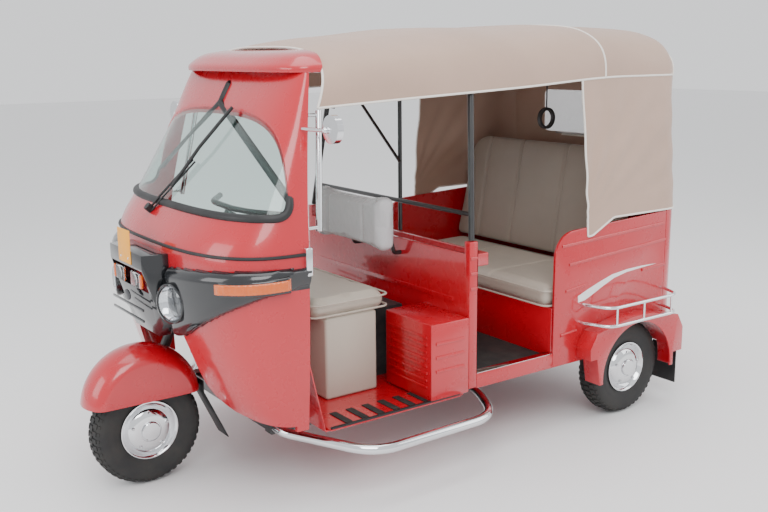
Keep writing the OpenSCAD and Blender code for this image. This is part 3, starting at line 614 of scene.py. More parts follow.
def make_finishes(colours):
    GROUPS.update(Speckle=speckle_group(), Polish=polish_group(), Grain=grain_group(), Weave=weave_group())
    paint, canvas, seat, back = (list(getattr(colours, k)) for k in ("paint", "canvas", "seat", "back"))
    finish("body_paint", paint, [paint[0] * 0.86, paint[1], paint[2] * 0.8], (3.0, 0.5, 0.25), (0.24, 0.34),
           grain=(240.0, 0.0, 0.03, 0.0003), Coat_Weight=0.8, Coat_Roughness=0.05)
    finish("frame_black", (0.012, 0.012, 0.013), (0.03, 0.028, 0.026), (20.0, 0.4, 0.3), (0.3, 0.45),
           Coat_Weight=0.3, Coat_Roughness=0.2)
    finish("bumper_black", (0.006, 0.007, 0.009), (0.012, 0.013, 0.015), (6.0, 0.4, 0.1), (0.12, 0.22),
           grain=(90.0, 0.0, 0.02, 0.0004), Coat_Weight=0.6, Coat_Roughness=0.06)
    finish("gasket", (0.010, 0.010, 0.011), (0.025, 0.025, 0.025), (30.0, 0.3, 0.1), (0.45, 0.6),
           grain=(500.0, 0.0, 0.2, 0.0004))
    finish("trim_black", (0.014, 0.014, 0.015), (0.03, 0.03, 0.03), (40.0, 0.3, 0.1), (0.4, 0.55),
           grain=(900.0, 0.6, 0.25, 0.0003))
    finish("floor_mat", (0.012, 0.012, 0.012), (0.04, 0.036, 0.03), (18.0, 0.4, 0.3), (0.6, 0.8),
           grain=(300.0, 0.7, 0.4, 0.0008))
    finish("chrome", (0.78, 0.79, 0.81), (0.62, 0.62, 0.63), (10.0, 0.3, 0.35), (0.05, 0.14),
           grain=(60.0, 0.0, 0.02, 0.0002), Metallic=1.0)
    finish("wheel", (0.66, 0.67, 0.69), (0.4, 0.39, 0.38), (16.0, 0.35, 0.3), (0.18, 0.32),
           grain=(200.0, 0.0, 0.04, 0.0002), Metallic=1.0)
    finish("engine_metal", (0.05, 0.05, 0.055), (0.12, 0.11, 0.1), (25.0, 0.5, 0.2), (0.4, 0.6),
           grain=(350.0, 0.3, 0.5, 0.0008), Metallic=0.6)
    finish("plate", (0.95, 0.40, 0.012), (0.85, 0.33, 0.01), (12.0, 0.4, 0.0), (0.35, 0.5),
           grain=(500.0, 0.0, 0.06, 0.0002))
    finish("seat_tan", seat, [c * 0.86 for c in seat], (5.0, 0.5, 0.0), (0.42, 0.56),
           grain=(420.0, 0.85, 0.28, 0.0006), Sheen_Weight=0.1)
    finish("seat_taupe", back, [c * 0.82 for c in back], (4.0, 0.5, 0.0), (0.45, 0.6),
           grain=(380.0, 0.85, 0.3, 0.0006), Sheen_Weight=0.12)
    finish("pad_cloth", (0.42, 0.41, 0.41), (0.33, 0.32, 0.32), (14.0, 0.4, 0.0), (0.6, 0.8),
           weave=(220.0, 0.3, 0.0006), Sheen_Weight=0.2)
    finish("canvas", canvas, [c * 0.84 for c in canvas], (2.6, 0.55, 0.0), (0.5, 0.66),
           weave=(180.0, 0.22, 0.0005), Sheen_Weight=0.18, Sheen_Roughness=0.5)
    finish("lining", [c * 0.3 for c in canvas], [c * 0.2 for c in canvas], (4.0, 0.4, 0.0), (0.7, 0.85),
           weave=(180.0, 0.25, 0.0005))
    finish("piping", (0.80, 0.76, 0.70), (0.66, 0.61, 0.55), (30.0, 0.4, 0.0), (0.45, 0.6),
           grain=(700.0, 0.0, 0.2, 0.0003))
    finish("white_paint", (0.85, 0.85, 0.84), (0.75, 0.75, 0.74), (20.0, 0.3, 0.0), (0.3, 0.4),
           grain=(200.0, 0.0, 0.03, 0.0002), Coat_Weight=0.5)
    finish("tyre", (0.012, 0.012, 0.0125), (0.04, 0.037, 0.033), (14.0, 0.35, 0.5), (0.6, 0.8),
           grain=(260.0, 0.4, 0.35, 0.0006))
    finish("lamp_orange", (0.90, 0.16, 0.006), (0.7, 0.10, 0.004), (24.0, 0.5, 0.0), (0.12, 0.2),
           grain=(110.0, 1.0, 0.5, 0.002), Coat_Weight=0.7, Transmission_Weight=0.25)
    finish("lamp_red", (0.5, 0.008, 0.008), (0.38, 0.005, 0.005), (24.0, 0.5, 0.0), (0.12, 0.2),
           grain=(110.0, 1.0, 0.5, 0.002), Coat_Weight=0.7, Transmission_Weight=0.2)
    finish("mirror_glass", (0.85, 0.86, 0.87), (0.8, 0.81, 0.82), (6.0, 0.2, 0.0), (0.02, 0.05),
           grain=(20.0, 0.0, 0.01, 0.0001), Metallic=1.0)
    finish("badge", (0.05, 0.05, 0.055), (0.09, 0.09, 0.1), (60.0, 0.4, 0.0), (0.15, 0.25),
           grain=(160.0, 0.0, 0.1, 0.0004), Metallic=0.8)
    clear_finish("glass", (0.70, 0.86, 0.82), (0.0, 0.03), shade=(0.62, 0.78, 0.74))
    clear_finish("lamp_clear", (0.94, 0.96, 0.98), (0.02, 0.08), shade=(0.9, 0.92, 0.94))
    film = clear_finish("film", (0.86, 0.86, 0.88), (0.08, 0.22), alpha=0.34, shade=(0.9, 0.9, 0.9))
    for node in film.node_tree.nodes:
        if node.type == "GROUP" and node.node_tree == GROUPS["Grain"]:
            node.inputs["Scale"].default_value = 38.0
            node.inputs["Cells"].default_value = 0.5
            node.inputs["Strength"].default_value = 0.9
            node.inputs["Depth"].default_value = 0.006


def skin(name, outer, inner, angle=35):
    """A wall between two grids of rows, closed along its edges."""
    m, n = len(outer), len(outer[0])
    points = [p for rows in (outer, inner) for row in rows for p in row]
    a = lambda i, j: i * n + j
    b = lambda i, j: m * n + i * n + j
    faces = []
    for i in range(m - 1):
        for j in range(n - 1):
            faces.append((a(i, j), a(i, j + 1), a(i + 1, j + 1), a(i + 1, j)))
            faces.append((b(i, j), b(i + 1, j), b(i + 1, j + 1), b(i, j + 1)))
        for j in (0, n - 1):
            faces.append((a(i, j), a(i + 1, j), b(i + 1, j), b(i, j)))
    for j in range(n - 1):
        for i in (0, m - 1):
            faces.append((a(i, j), a(i, j + 1), b(i, j + 1), b(i, j)))
    return crease(turn_out(new_mesh(name, points, faces)), angle)


def around(phi, n):
    """A point on a unit superellipse in a direction."""
    c, s = math.cos(phi), math.sin(phi)
    k = (abs(c) ** n + abs(s) ** n) ** (1 / n)
    return c / k, s / k


def lathe(name, profile, centre, outward=1, steps=96, angle=35):
    """A profile of (radius, offset) turned about a wheel's axle."""
    c = Vector(centre)
    rows = []
    for k in range(steps + 1):
        t = 2 * math.pi * k / steps
        rows.append([c + Vector((r * math.cos(t), outward * o, r * math.sin(t))) for r, o in profile])
    return loft(name, rows, closed=False, angle=angle)


def spread_tree(name, turning):
    """Copies of the incoming shape, either turned about an axle or set out along a line."""
    tree = bpy.data.node_groups.new(name, "GeometryNodeTree")
    face = tree.interface
    face.new_socket("Geometry", in_out="INPUT", socket_type="NodeSocketGeometry")
    count = face.new_socket("Count", in_out="INPUT", socket_type="NodeSocketInt")
    step = face.new_socket("Step", in_out="INPUT", socket_type="NodeSocketVector")
    mat = face.new_socket("Material", in_out="INPUT", socket_type="NodeSocketMaterial")
    face.new_socket("Geometry", in_out="OUTPUT", socket_type="NodeSocketGeometry")
    nodes = {
        "in": add(tree, "NodeGroupInput"), "out": add(tree, "NodeGroupOutput"),
        "line": add(tree, "GeometryNodeMeshLine"), "copies": add(tree, "GeometryNodeInstanceOnPoints"),
        "real": add(tree, "GeometryNodeRealizeInstances"), "paint": add(tree, "GeometryNodeSetMaterial"),
    }
    wire(tree, nodes, "in.Count>line.Count line.0>copies.Points in.Geometry>copies.Instance")
    if turning:
        nodes["line"].inputs["Offset"].default_value = (0, 0, 0)
        nodes["index"] = add(tree, "GeometryNodeInputIndex")
        nodes["by"] = add(tree, "ShaderNodeVectorMath", operation="SCALE")
        nodes["turn"] = add(tree, "GeometryNodeRotateInstances", {"Local Space": False})
        wire(tree, nodes, "in.Step>by.0 index.0>by.Scale copies.0>turn.Instances by.0>turn.Rotation turn.0>real.0")
    else:
        wire(tree, nodes, "in.Step>line.Offset copies.0>real.0")
    wire(tree, nodes, "real.0>paint.Geometry in.Material>paint.Material paint.0>out.0")
    return tree, count.identifier, step.identifier, mat.identifier


def spread(obj, count, step, material, turning=False):
    """Repeats a shape; a turning one is modelled about the origin."""
    key = "Turned Copies" if turning else "Row of Copies"
    if key not in GROUPS:
        GROUPS[key] = spread_tree(key, turning)
    tree, a, b, c = GROUPS[key]
    mod = obj.modifiers.new("Copies", "NODES")
    mod.node_group = tree
    mod[a], mod[b], mod[c] = int(count), tuple(float(v) for v in step), material
    obj.update_tag()
    return baked(obj)


def moved(obj, offset):
    obj.data.transform(Matrix.Translation(Vector(offset)))
    return obj


def mirrored(obj, name):
    """The same piece on the other side."""
    twin = bpy.data.objects.new(name, obj.data.copy())
    bpy.context.scene.collection.objects.link(twin)
    twin.data.transform(Matrix.Scale(-1, 4, (0, 1, 0)))
    twin.data.flip_normals()
    return twin


# ---- the cab's skin ----

CAB = [(0.300, 0.150, 0.012, -0.014), (0.370, 0.096, 0.006, -0.014), (0.450, 0.062, 0.002, -0.012),
       (0.600, 0.022, 0.0, -0.008), (0.790, 0.002, 0.002, -0.002), (0.910, 0.0, 0.008, 0.002),
       (0.950, 0.012, 0.012, 0.006), (1.045, 0.076, 0.027, 0.014), (1.200, 0.180, 0.060, 0.036),
       (1.350, 0.280, 0.094, 0.062), (1.498, 0.364, 0.127, 0.090), (1.532, 0.388, 0.138, 0.098)]


def cab(z, phi, out=0.0):
    nose, side, door = monotone(CAB, z)
    c, s = around(phi, 3)
    x0, x1 = DOOR - door, NOSE - nose + out
    return at(x0 + (x1 - x0) * max(c, 0.0), (HALF - side + out) * s, z)


def cab_normal(z, phi):
    d = 0.002
    a = cab(z, min(phi + d, math.pi / 2)) - cab(z, max(phi - d, -math.pi / 2))
    b = cab(min(z + d, 1.532), phi) - cab(max(z - d, 0.3), phi)
    return a.cross(b).normalized()


def cab_phi(x, z):
    """The direction in which the skin's left half is x forward at a height."""
    low, high = 0.0, math.pi / 2
    for _ in range(40):
        mid = (low + high) / 2
        low, high = (mid, high) if cab(z, mid).x - AXLE_X > x else (low, mid)
    return (low + high) / 2


def window(margin=0.0):
    """The windscreen's edge seen from the side."""
    low, high, m = SCREEN_LOW + 0.014, SCREEN_TOP - 0.014, margin
    return rounded([(DOOR + 0.052 - m, low - m), (2.4, low - m), (2.4, high + m), (DOOR + 0.016 - m, high + m)],
                   [0.06 + m, 0, 0, 0.06 + m])


def cab_grid(low, high, out, rows=70, cols=88):
    found = []
    for i in range(rows + 1):
        z = low + (high - low) * i / rows
        found.append([cab(z, math.pi / 2 * (2 * j / cols - 1), out) for j in range(cols + 1)])
    return found


def across(name, outline):
    return plate(name, outline, lambda u, v, w: at(u, w, v), -1.0, 1.0, bevel=0)


def ahead(name, outline, low, high):
    return plate(name, outline, lambda u, v, w: at(w, u, v), low, high, bevel=0)


def seal_path(margin=0.0, steps=60):
    """The windscreen's edge on the skin, all the way round, with the skin's normals."""
    low, high = SCREEN_LOW + 0.014 - margin, SCREEN_TOP - 0.014 + margin
    side = [p for p in window(margin) if p[0] < 2.3]
    # the outline starts at the lower pillar corner and ends at the upper one
    lower = [p for p in side if p[1] < (low + high) / 2]
    upper = [p for p in side if p[1] >= (low + high) / 2]
    left = [(cab_phi(x, z), z) for x, z in reversed(lower)] + [(cab_phi(x, z), z) for x, z in reversed(upper)]
    a, b = left[0], left[-1]
    pairs = left
    pairs += [(b[0] * (1 - 2 * k / steps), b[1]) for k in range(1, steps)]
    pairs += [(-p, z) for p, z in reversed(left)]
    pairs += [(-a[0] * (1 - 2 * k / steps), a[1]) for k in range(1, steps)]
    return [cab(z, p) for p, z in pairs], [cab_normal(z, p) for p, z in pairs]


class RICKSHAW_OT_finishes(bpy.types.Operator):
    """Make the finishes and give every part of the model its own"""

    bl_idname = "rickshaw.finishes"
    bl_label = "Finishes"

    def execute(self, context):
        make_finishes(context.scene.rickshaw_colours)
        for name, obj in frame["nodes"].items():
            slot = SLOTS[name]
            obj.data.materials.clear()
            obj.data.materials.append(FINISH["pad_cloth" if slot == "pad_wrap" else slot])
        return {"FINISHED"}


class RICKSHAW_OT_stage(bpy.types.Operator):
    """Set out the floor, the light and the camera"""

    bl_idname = "rickshaw.stage"
    bl_label = "Stage"

    def execute(self, context):
        floor = new_mesh("stage_floor", [(-30, -30, 0), (30, -30, 0), (30, 30, 0), (-30, 30, 0)],
                         [(0, 1, 2, 3)], smooth=False)
        floor.data.transform(Matrix.Translation((0, 0, -0.0015)))
        painted(floor, finish("stage_floor", (0.86, 0.86, 0.86), (0.84, 0.84, 0.84), (0.5, 0.2, 0.0),
                              (0.55, 0.65), grain=(3.0, 0.0, 0.0, 0.001), Specular_IOR_Level=0.25))
        world = bpy.data.worlds.new("Studio")
        context.scene.world = world
        world.use_nodes = True
        back = world.node_tree.nodes["Background"]
        back.inputs["Color"].default_value = (0.97, 0.98, 1.0, 1)
        back.inputs["Strength"].default_value = 1.15
        for name, place, aim, size, power_w in LAMPS:
            lamp = bpy.data.objects.new("stage_" + name, bpy.data.lights.new(name, "AREA"))
            lamp.data.size, lamp.data.energy = size, power_w
            context.scene.collection.objects.link(lamp)
            lamp.location = place
            lamp.rotation_euler = (Vector(aim) - Vector(place)).to_track_quat("-Z", "Y").to_euler()
        camera = bpy.data.objects.new("stage_camera", bpy.data.cameras.new("Camera"))
        context.scene.collection.objects.link(camera)
        camera.data.lens, camera.data.sensor_width = CAMERA_LENS, 36.0
        camera.data.clip_end = 200
        yaw, pitch, roll = (math.radians(v) for v in CAMERA_TURN)
        fw = Vector((math.cos(pitch) * math.cos(yaw), math.cos(pitch) * math.sin(yaw), math.sin(pitch)))
        r = fw.cross(Vector((0, 0, 1))).normalized()
        u = r.cross(fw)
        r, u = r * math.cos(roll) + u * math.sin(roll), u * math.cos(roll) - r * math.sin(roll)
        turn = Matrix((r, u, -fw)).transposed().to_4x4()
        camera.matrix_world = Matrix.Translation(CAMERA_AT) @ turn
        context.scene.camera = camera
        return {"FINISHED"}


class RICKSHAW_OT_cab(bpy.types.Operator):
    """Shape the cab's skin, windscreen, seal, trim line and visor"""

    bl_idname = "rickshaw.cab"
    bl_label = "Cab"

    def execute(self, context):
        sizes = context.scene.rickshaw_sizes
        shell = skin("cab_skin", cab_grid(0.3, 1.532, 0.0), cab_grid(0.3, 1.532, -WALL))
        cut(shell, across("window_cut", window()))
        edge = ARCH + [(-y, z) for y, z in reversed(ARCH)]
        corners = [0.05] * 4 + [0.02] * 3 + [0] * 4 + [0.02] * 3 + [0.05] * 4
        cut(shell, ahead("arch_cut", rounded(edge, corners), DOOR + 0.06, 2.4))
        settle(crease(turn_out(shell), 35), "body", "body_paint", FINISH["body_paint"], "cab_shell")

        glass = skin("windscreen_glass", cab_grid(1.0, 1.525, -0.003, 44, 80), cab_grid(1.0, 1.525, -0.008, 44, 80))
        cut(glass, across("glass_cut", window(0.009)), "INTERSECT")
        settle(crease(turn_out(glass), 35), "body", "glass", FINISH["glass"], "windscreen")

        points, normals = seal_path(0.002)
        w = sizes.seal_width / 2
        bead = [(-w, -0.003), (-w + 0.001, 0.003), (-w * 0.7, 0.008), (-w * 0.25, 0.011), (w * 0.25, 0.011),
                (w * 0.7, 0.008), (w - 0.001, 0.003), (w, -0.003)]
        settle(sweep("windscreen_rubber", points, normals, bead, closed=True), "body", "gasket",
               FINISH["gasket"], "windscreen_seal")

        turns = [math.pi / 2 * (2 * k / 90 - 1) for k in range(91)]
        strip = [(-0.006, -0.001), (-0.0055, 0.0045), (-0.003, 0.007), (0.003, 0.007), (0.0055, 0.0045),
                 (0.006, -0.001)]
        settle(sweep("trim_line", [cab(BELT, t) for t in turns], [cab_normal(BELT, t) for t in turns], strip),
               "body", "gasket", FINISH["gasket"], "belt_trim")

        def brow(z, phi, deep):
            inset = float(monotone(VISOR, z)[0]) + deep
            c, s = around(phi, 3.33)
            x0 = 1.508 - 0.072 * (z - 1.413) / 0.209
            return at(x0 + (1.606 - inset - x0) * max(c, 0.0), (0.468 - inset) * s, z - deep * 0.2)

        levels = [1.5323 + 0.0777 * (k / 16) for k in range(17)]
        grids = [[[brow(z, t, deep) for t in turns] for z in levels] for deep in (0.0, VISOR_WALL)]
        settle(skin("visor_brow", *grids), "body", "body_paint", FINISH["body_paint"], "visor")
        return {"FINISHED"}


# ---- the hood ----

HOOD = [(-0.352, 0.515, 1.487, 1.642), (-0.292, 0.541, 1.487, 1.692), (0.0, 0.545, 1.487, 1.712),
        (0.600, 0.537, 1.457, 1.702), (1.200, 0.515, 1.429, 1.666), (1.505, 0.503, 1.413, 1.622)]


def hood(x, a, inset=0.0):
    """The hood's outside, with the cloth drawn down a little between its bows."""
    half, low, crown = monotone(HOOD, x)
    c, s = math.cos(a), max(math.sin(a), 0.0)
    lean = 0.072 * min(max((x - 1.2) / 0.305, 0.0), 1.0)
    spans = [(-0.352, 0.24), (0.24, 0.80), (0.80, 1.445)]
    sag = 0.0
    for p, q in spans:
        if p < x < q:
            sag = 0.009 * math.sin(math.pi * (x - p) / (q - p)) ** 2
    crease_x = 0.0016 * math.sin(9 * x + 5 * a) * s
    z = low + (crown - low - inset) * s**0.7 - sag * s - abs(crease_x)
    return at(x - lean * s**0.7, (half - inset) * power(c, 0.6), z)


def cloth_sheet(name, rows):
    """A sheet through rows of points, with the flat size it has before it gets its thickness."""
    obj = turn_out(new_mesh(name, *grid(rows)))
    wide = max(sum((b - a).length for a, b in zip(r, r[1:])) for r in rows)
    long = max(sum((b - a).length for a, b in zip(c, c[1:])) for c in zip(*rows))
    area = sum(p.area for p in obj.data.polygons)
    return obj, wide, long, area


def thicken(obj):
    mod = obj.modifiers.new("Cloth", "SOLIDIFY")
    mod.thickness, mod.offset = CLOTH, -1
    baked(obj)
    return crease(turn_out(obj, 1e-6), 60)


class RICKSHAW_OT_hood(bpy.types.Operator):
    """Stretch the hood over its bows and hang its curtains"""

    bl_idname = "rickshaw.hood"
    bl_label = "Hood and Curtains"

    def execute(self, context):
        r = context.scene.rickshaw_sizes.piping
        xs = [-0.352 + 1.857 * k / 110 for k in range(111)]
        turns = [math.pi * (0.5 - 0.5 * math.cos(math.pi * k / 96)) for k in range(97)]
        rows = [[hood(x, a) for a in turns] for x in xs]
        roof, wide, long, area = cloth_sheet("hood_cloth", rows)
        thicken(roof)
        settle(roof, "body", "canvas", FINISH["canvas"], "canopy")
        for name, path in (
            ("left", [hood(x, 0.0) for x in xs]), ("right", [hood(x, math.pi) for x in xs]),
            ("front", rows[-1]), ("rear", rows[0]), ("middle", [hood(0.12, a) for a in turns]),
        ):
            trim = tube("hood_piping_" + name, [p + Vector((0, 0, -r * 0.2)) for p in path], r, 10)
            settle(trim, "body", "canvas", FINISH["piping"])

        # one curtain runs round both sides and the back, from the front lower corners
        reach, low_half, low_tail = 0.256, 0.6035, -0.358
        plan, tops = [], []
        side, corner, rear = 34, 14, 60
        for k in range(side + 1):
            x = reach + (-0.252 - reach) * k / side
            plan.append((x, low_half, "side"))
            tops.append(hood(x, 0.0))
        for k in range(1, corner):
            t = math.pi / 2 * k / corner
            plan.append((-0.252 - 0.106 * math.sin(t), low_half - 0.106 * (1 - math.cos(t)), "corner"))
            x = -0.252 - 0.100 * k / corner
            tops.append(hood(x, 0.0))
        for k in range(rear + 1):
            y = (low_half - 0.106) * (1 - 2 * k / rear)
            plan.append((low_tail, y, "rear"))
            tops.append(hood(-0.352, math.pi * k / rear))
        n = side + corner + rear // 2 + 1
        plan, tops = plan[:n], tops[:n]
        plan += [(x, -y, kind) for x, y, kind in reversed(plan[:-1])]
        tops += [Vector((p.x, -p.y, p.z)) for p in reversed(tops[:-1])]
        rows = []
        for (x, y, kind), top in zip(plan, tops):
            low_z = 0.898 if kind != "side" else 0.898 - 0.066 * min(1.0, max(0.0, (x - 0.10) / 0.13))
            foot = at(x, y, low_z)
            out = Vector((x + 0.05, y, 0))
            if kind == "rear":
                out = Vector((-1, 0, 0))
            elif kind == "side":
                out = Vector((0, math.copysign(1, y), 0))
            out.normalize()
            row = []
            for k in range(57):
                v = k / 56
                p = foot.lerp(top, v)
                swell = math.sin(math.pi * v)
                fold = 0.0065 * field.noise(Vector((3.2 * p.x + 6.0 * v, 2.6 * p.y, 2.2 * p.z)))
                fan = 0.004 * math.sin(26 * math.atan2(p.z - 0.85, (p.x - AXLE_X) - reach - 0.05)) * swell
                if kind != "side":
                    fan *= 0.3
                p = p + out * (0.004 * swell + (fold + fan) * min(1.0, 5 * v) * min(1.0, 5 * (1 - v)))
                row.append(p)
            rows.append(row)
        curtain, wide, long, area = cloth_sheet("hood_curtain", rows)
        thicken(curtain)
        hole = ahead("curtain_hole", rounded([(-0.29, 1.19), (0.29, 1.19), (0.29, 1.40), (-0.29, 1.40)], 0.03),
                     -0.45, -0.30)
        cut(curtain, hole)
        settle(curtain, "body", "canvas", FINISH["canvas"], "side_curtains")
        for name, path in (("front_left", rows[0]), ("front_right", rows[-1]), ("hem", [q[0] for q in rows])):
            settle(tube("curtain_piping_" + name, path, r, 10), "body", "canvas", FINISH["piping"])
        pane_x = lambda z: -0.358 + 0.006 * (z - 0.9) / 0.6 - 0.004
        edge = rounded([(-0.30, 1.18), (0.30, 1.18), (0.30, 1.41), (-0.30, 1.41)], 0.035)
        path = [at(pane_x(z) - 0.001, y, z) for y, z in edge]
        frame_trim = sweep("curtain_pane_binding", path, [Vector((-1, 0, 0))] * len(path),
                           [(-0.008, -0.001), (-0.007, 0.002), (0.007, 0.002), (0.008, -0.001)], closed=True)
        settle(frame_trim, "body", "canvas", FINISH["piping"])
        pane = plate("curtain_pane", edge, lambda u, v, w: at(pane_x(v) + w, u, v), 0.0, 0.001, bevel=0)
        settle(pane, "body", "canvas", FINISH["film"])
        return {"FINISHED"}


# ---- seats ----


def stuffed(obj, voxel, rise, seams=(), keep=None):
    """Fills a closed shape so that its faces swell between its edges, then draws the seams in."""
    mod = obj.modifiers.new("Even", "REMESH")
    mod.mode, mod.voxel_size = "VOXEL", voxel
    baked(obj)
    rest = [v.co.copy() for v in obj.data.vertices]
    mod = obj.modifiers.new("Fill", "CLOTH")
    mod.settings.use_pressure = True
    mod.settings.uniform_pressure_force = 4
    mod.settings.effector_weights.gravity = 0
    for frame_number in range(1, 21):
        bpy.context.scene.frame_set(frame_number)
    baked(obj)
    bpy.context.scene.frame_set(1)
    for v, was in zip(obj.data.vertices, rest):
        step = v.co - was
        if step.length > rise:
            v.co = was + step.normalized() * rise
        if keep is not None:
            v.co = Vector([min(max(c, a), b) for c, a, b in zip(v.co, *keep)])
    mod = obj.modifiers.new("Smooth", "SUBSURF")
    mod.levels = mod.render_levels = 1
    baked(obj)
    for v in obj.data.vertices:
        for seam in seams:
            seam(v)
    return crease(obj, 80)


def channel(axis, place, depth, along, width=0.007, facing=None):
    """A sewn channel: points near a plane are drawn in along a direction."""
    pull = Vector(along)

    def press(v):
        d = (v.co[axis] - place) / width
        if abs(d) < 3 and (facing is None or facing(v.co)):
            v.co -= pull * depth * math.exp(-d * d)

    return press


class RICKSHAW_OT_seats(bpy.types.Operator):
    """Pad the driver's seat, the pad behind it and the passengers' bench"""

    bl_idname = "rickshaw.seats"
    bl_label = "Seats"

    def execute(self, context):
        rise = context.scene.rickshaw_sizes.cushion_rise
        specs = {"driver_seat": (0.034, 0.0075, 0.006), "bench_cushion": (0.036, 0.010, 0.006),
                 "driver_backrest": (0.030, 0.007, 0.008)}
        for node, (radius, voxel, inset) in specs.items():
            low, high = (Vector(c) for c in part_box(node))
            near = Vector((inset, inset, inset if node == "driver_backrest" else 0.0))
            obj = soft_box(node + "_pad", low + near, high - Vector((inset, inset, inset * 1.5)), radius, 5)
            seams = []
            top = high.z - 0.03
            if node == "bench_cushion":
                seams = [channel(1, y, 0.009, (0, 0, 1), 0.008, lambda c, t=top: c.z > t) for y in (-0.19, 0.19)]
            elif node == "driver_backrest":
                front = (low.x + high.x) / 2
                seams = [channel(1, y, 0.006, (1, 0, 0), 0.009, lambda c, f=front: c.x > f) for y in (-0.13, 0.13)]
            stuffed(obj, voxel, rise, seams, (low, high))
            slot = SLOTS[node]
            settle(obj, "body", slot, FINISH["pad_cloth" if slot == "pad_wrap" else slot], node)
            if node == "driver_backrest":
                wrap = bpy.data.objects.new("pad_film", obj.data.copy())
                context.scene.collection.objects.link(wrap)
                wrap.data.transform(Matrix.Translation(-(low + high) / 2))
                wrap.data.transform(Matrix.Diagonal((1.015, 1.004, 1.008, 1)))
                wrap.data.transform(Matrix.Translation((low + high) / 2))
                for v in wrap.data.vertices:
                    v.co += v.normal * 0.0022 * abs(field.noise(v.co * 24.0))
                settle(wrap, "body", "pad_wrap", FINISH["film"])
                continue
            # piping round the top and bottom edges
            for k, z in enumerate((high.z - 0.020, low.z + 0.010)):
                edge = rounded([(low.x + 0.006, low.y + 0.006), (high.x - 0.006, low.y + 0.006),
                                (high.x - 0.006, high.y - 0.006), (low.x + 0.006, high.y - 0.006)], 0.04)
                cord = tube(f"{node}_piping_{k}", [Vector((x, y, z)) for x, y in edge], 0.004, 10, closed=True)
                settle(cord, "body", slot, FINISH[slot])

        base, head = at(-0.014, 0, 0.664), at(-0.100, 0, 1.152)
        up = (head - base).normalized()
        out = up.cross(Vector((0, 1, 0))).normalized()
        if out.x < 0:
            out = -out
        tall = (head - base).length
        outline = rounded([(-0.566, -0.020), (0.566, -0.020), (0.530, tall + 0.020), (-0.530, tall + 0.020)],
                          [0.03, 0.03, 0.13, 0.13], 12)
        rest = plate("bench_backrest_pad", outline, lambda u, v, w: base + up * v + Vector((0, u, 0)) + out * w,
                     -0.021, 0.021, bevel=0.018, segments=4)
        front = lambda c: (c - base).dot(out) > 0.0
        seams = [channel(1, y, 0.010, out, 0.008, front) for y in (-0.385, -0.15, 0.15, 0.385)]
        stuffed(rest, 0.009, rise * 0.45, seams)
        settle(rest, "body", "seat_taupe", FINISH["seat_taupe"], "bench_backrest")

        low, high = (Vector(c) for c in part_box("seat_box"))
        case = box("seat_box_cover", low, high, 0.012, 4)
        settle(case, "body", "seat_tan", FINISH["seat_tan"], "seat_box")
        return {"FINISHED"}


# ---- wheels ----


class RICKSHAW_OT_wheels(bpy.types.Operator):
    """Turn the tyres with their tread, the rims and the hub caps"""

    bl_idname = "rickshaw.wheels"
    bl_label = "Wheels"

    def execute(self, context):
        count = context.scene.rickshaw_sizes.tread_blocks
        profile = TYRE + [(r, -o) for r, o in reversed(TYRE[:-1])] + [(0.1005, -0.036)]
        wheels = (("front", (FRONT_X, 0, TYRE_R), 1), ("rear_left", (AXLE_X, TRACK_HALF, TYRE_R), 1),
                  ("rear_right", (AXLE_X, -TRACK_HALF, TYRE_R), -1))
        for name, centre, side in wheels:
            body = name + "_wheel"
            tyre = lathe(name + "_carcass", profile, centre, side, 120, 30)
            painted(tyre, FINISH["tyre"])
            parts = [tyre]
            for row, (across_at, width, length, radius, tilt) in enumerate(TREAD):
                block = box(f"{name}_tread_{row}", (-length / 2, -width / 2, -0.004), (length / 2, width / 2, 0.0025),
                            0.0008, 1)
                block.data.transform(Matrix.Rotation(tilt * -1.0, 4, "X"))
                block.data.transform(Matrix.Translation((0, across_at, radius)))
                block.data.transform(Matrix.Rotation(math.pi / count * (row % 2), 4, "Y"))
                parts.append(moved(spread(block, count, (0, 2 * math.pi / count, 0), FINISH["tyre"], True), centre))
            dress(joined(name + "_tyre_tread", parts), body, "tyre", name + "_tyre")
            rim = lathe(name + "_rim", RIM + [(0.0001, 0.06)], centre, side, 96, 30)
            painted(rim, FINISH["chrome"])
            rear = lathe(name + "_barrel", BARREL, centre, side, 96, 30)
            painted(rear, FINISH["wheel"])
            nut = lathe(name + "_nut", [(0.0062, 0.0), (0.0062, 0.006), (0.0045, 0.008), (0.0001, 0.008)],
                        (0, 0, 0), side, 6, 20)
            moved(nut, (0, side * 0.0515, 0.0705))
            nuts = moved(spread(nut, 5, (0, 2 * math.pi / 5, 0), FINISH["wheel"], True), centre)
            dress(joined(name + "_rim_and_cap", [rim, rear, nuts]), body, "wheel", name + "_wheel")
        return {"FINISHED"}


# ---- body panels ----


def eased(node, slot=None, bevel=0.003, material=None, body="body", segments=2):
    """A hard node shown with its edges rounded over."""
    slot = slot or SLOTS[node]
    return settle(softened(node, bevel, segments), body, slot, FINISH[material or slot], node)


def pair(left, slot, *nodes, material=None):
    """A piece of the body's left side, and its twin on the right."""
    right = mirrored(left, left.name + "_right")
    for obj, stands_for in ((left, nodes), (right, ())):
        settle(obj, "body", slot, material or FINISH[slot], *stands_for)


def side_ribs(name, lines, profile):
    """Raised lines pressed into the panels of both sides."""
    for k, line in enumerate(lines):
        path = [at(x, HALF, z) for x, z in line]
        pair(sweep(f"{name}_{k}", path, [Vector((0, 1, 0))] * 2, profile), "body_paint")


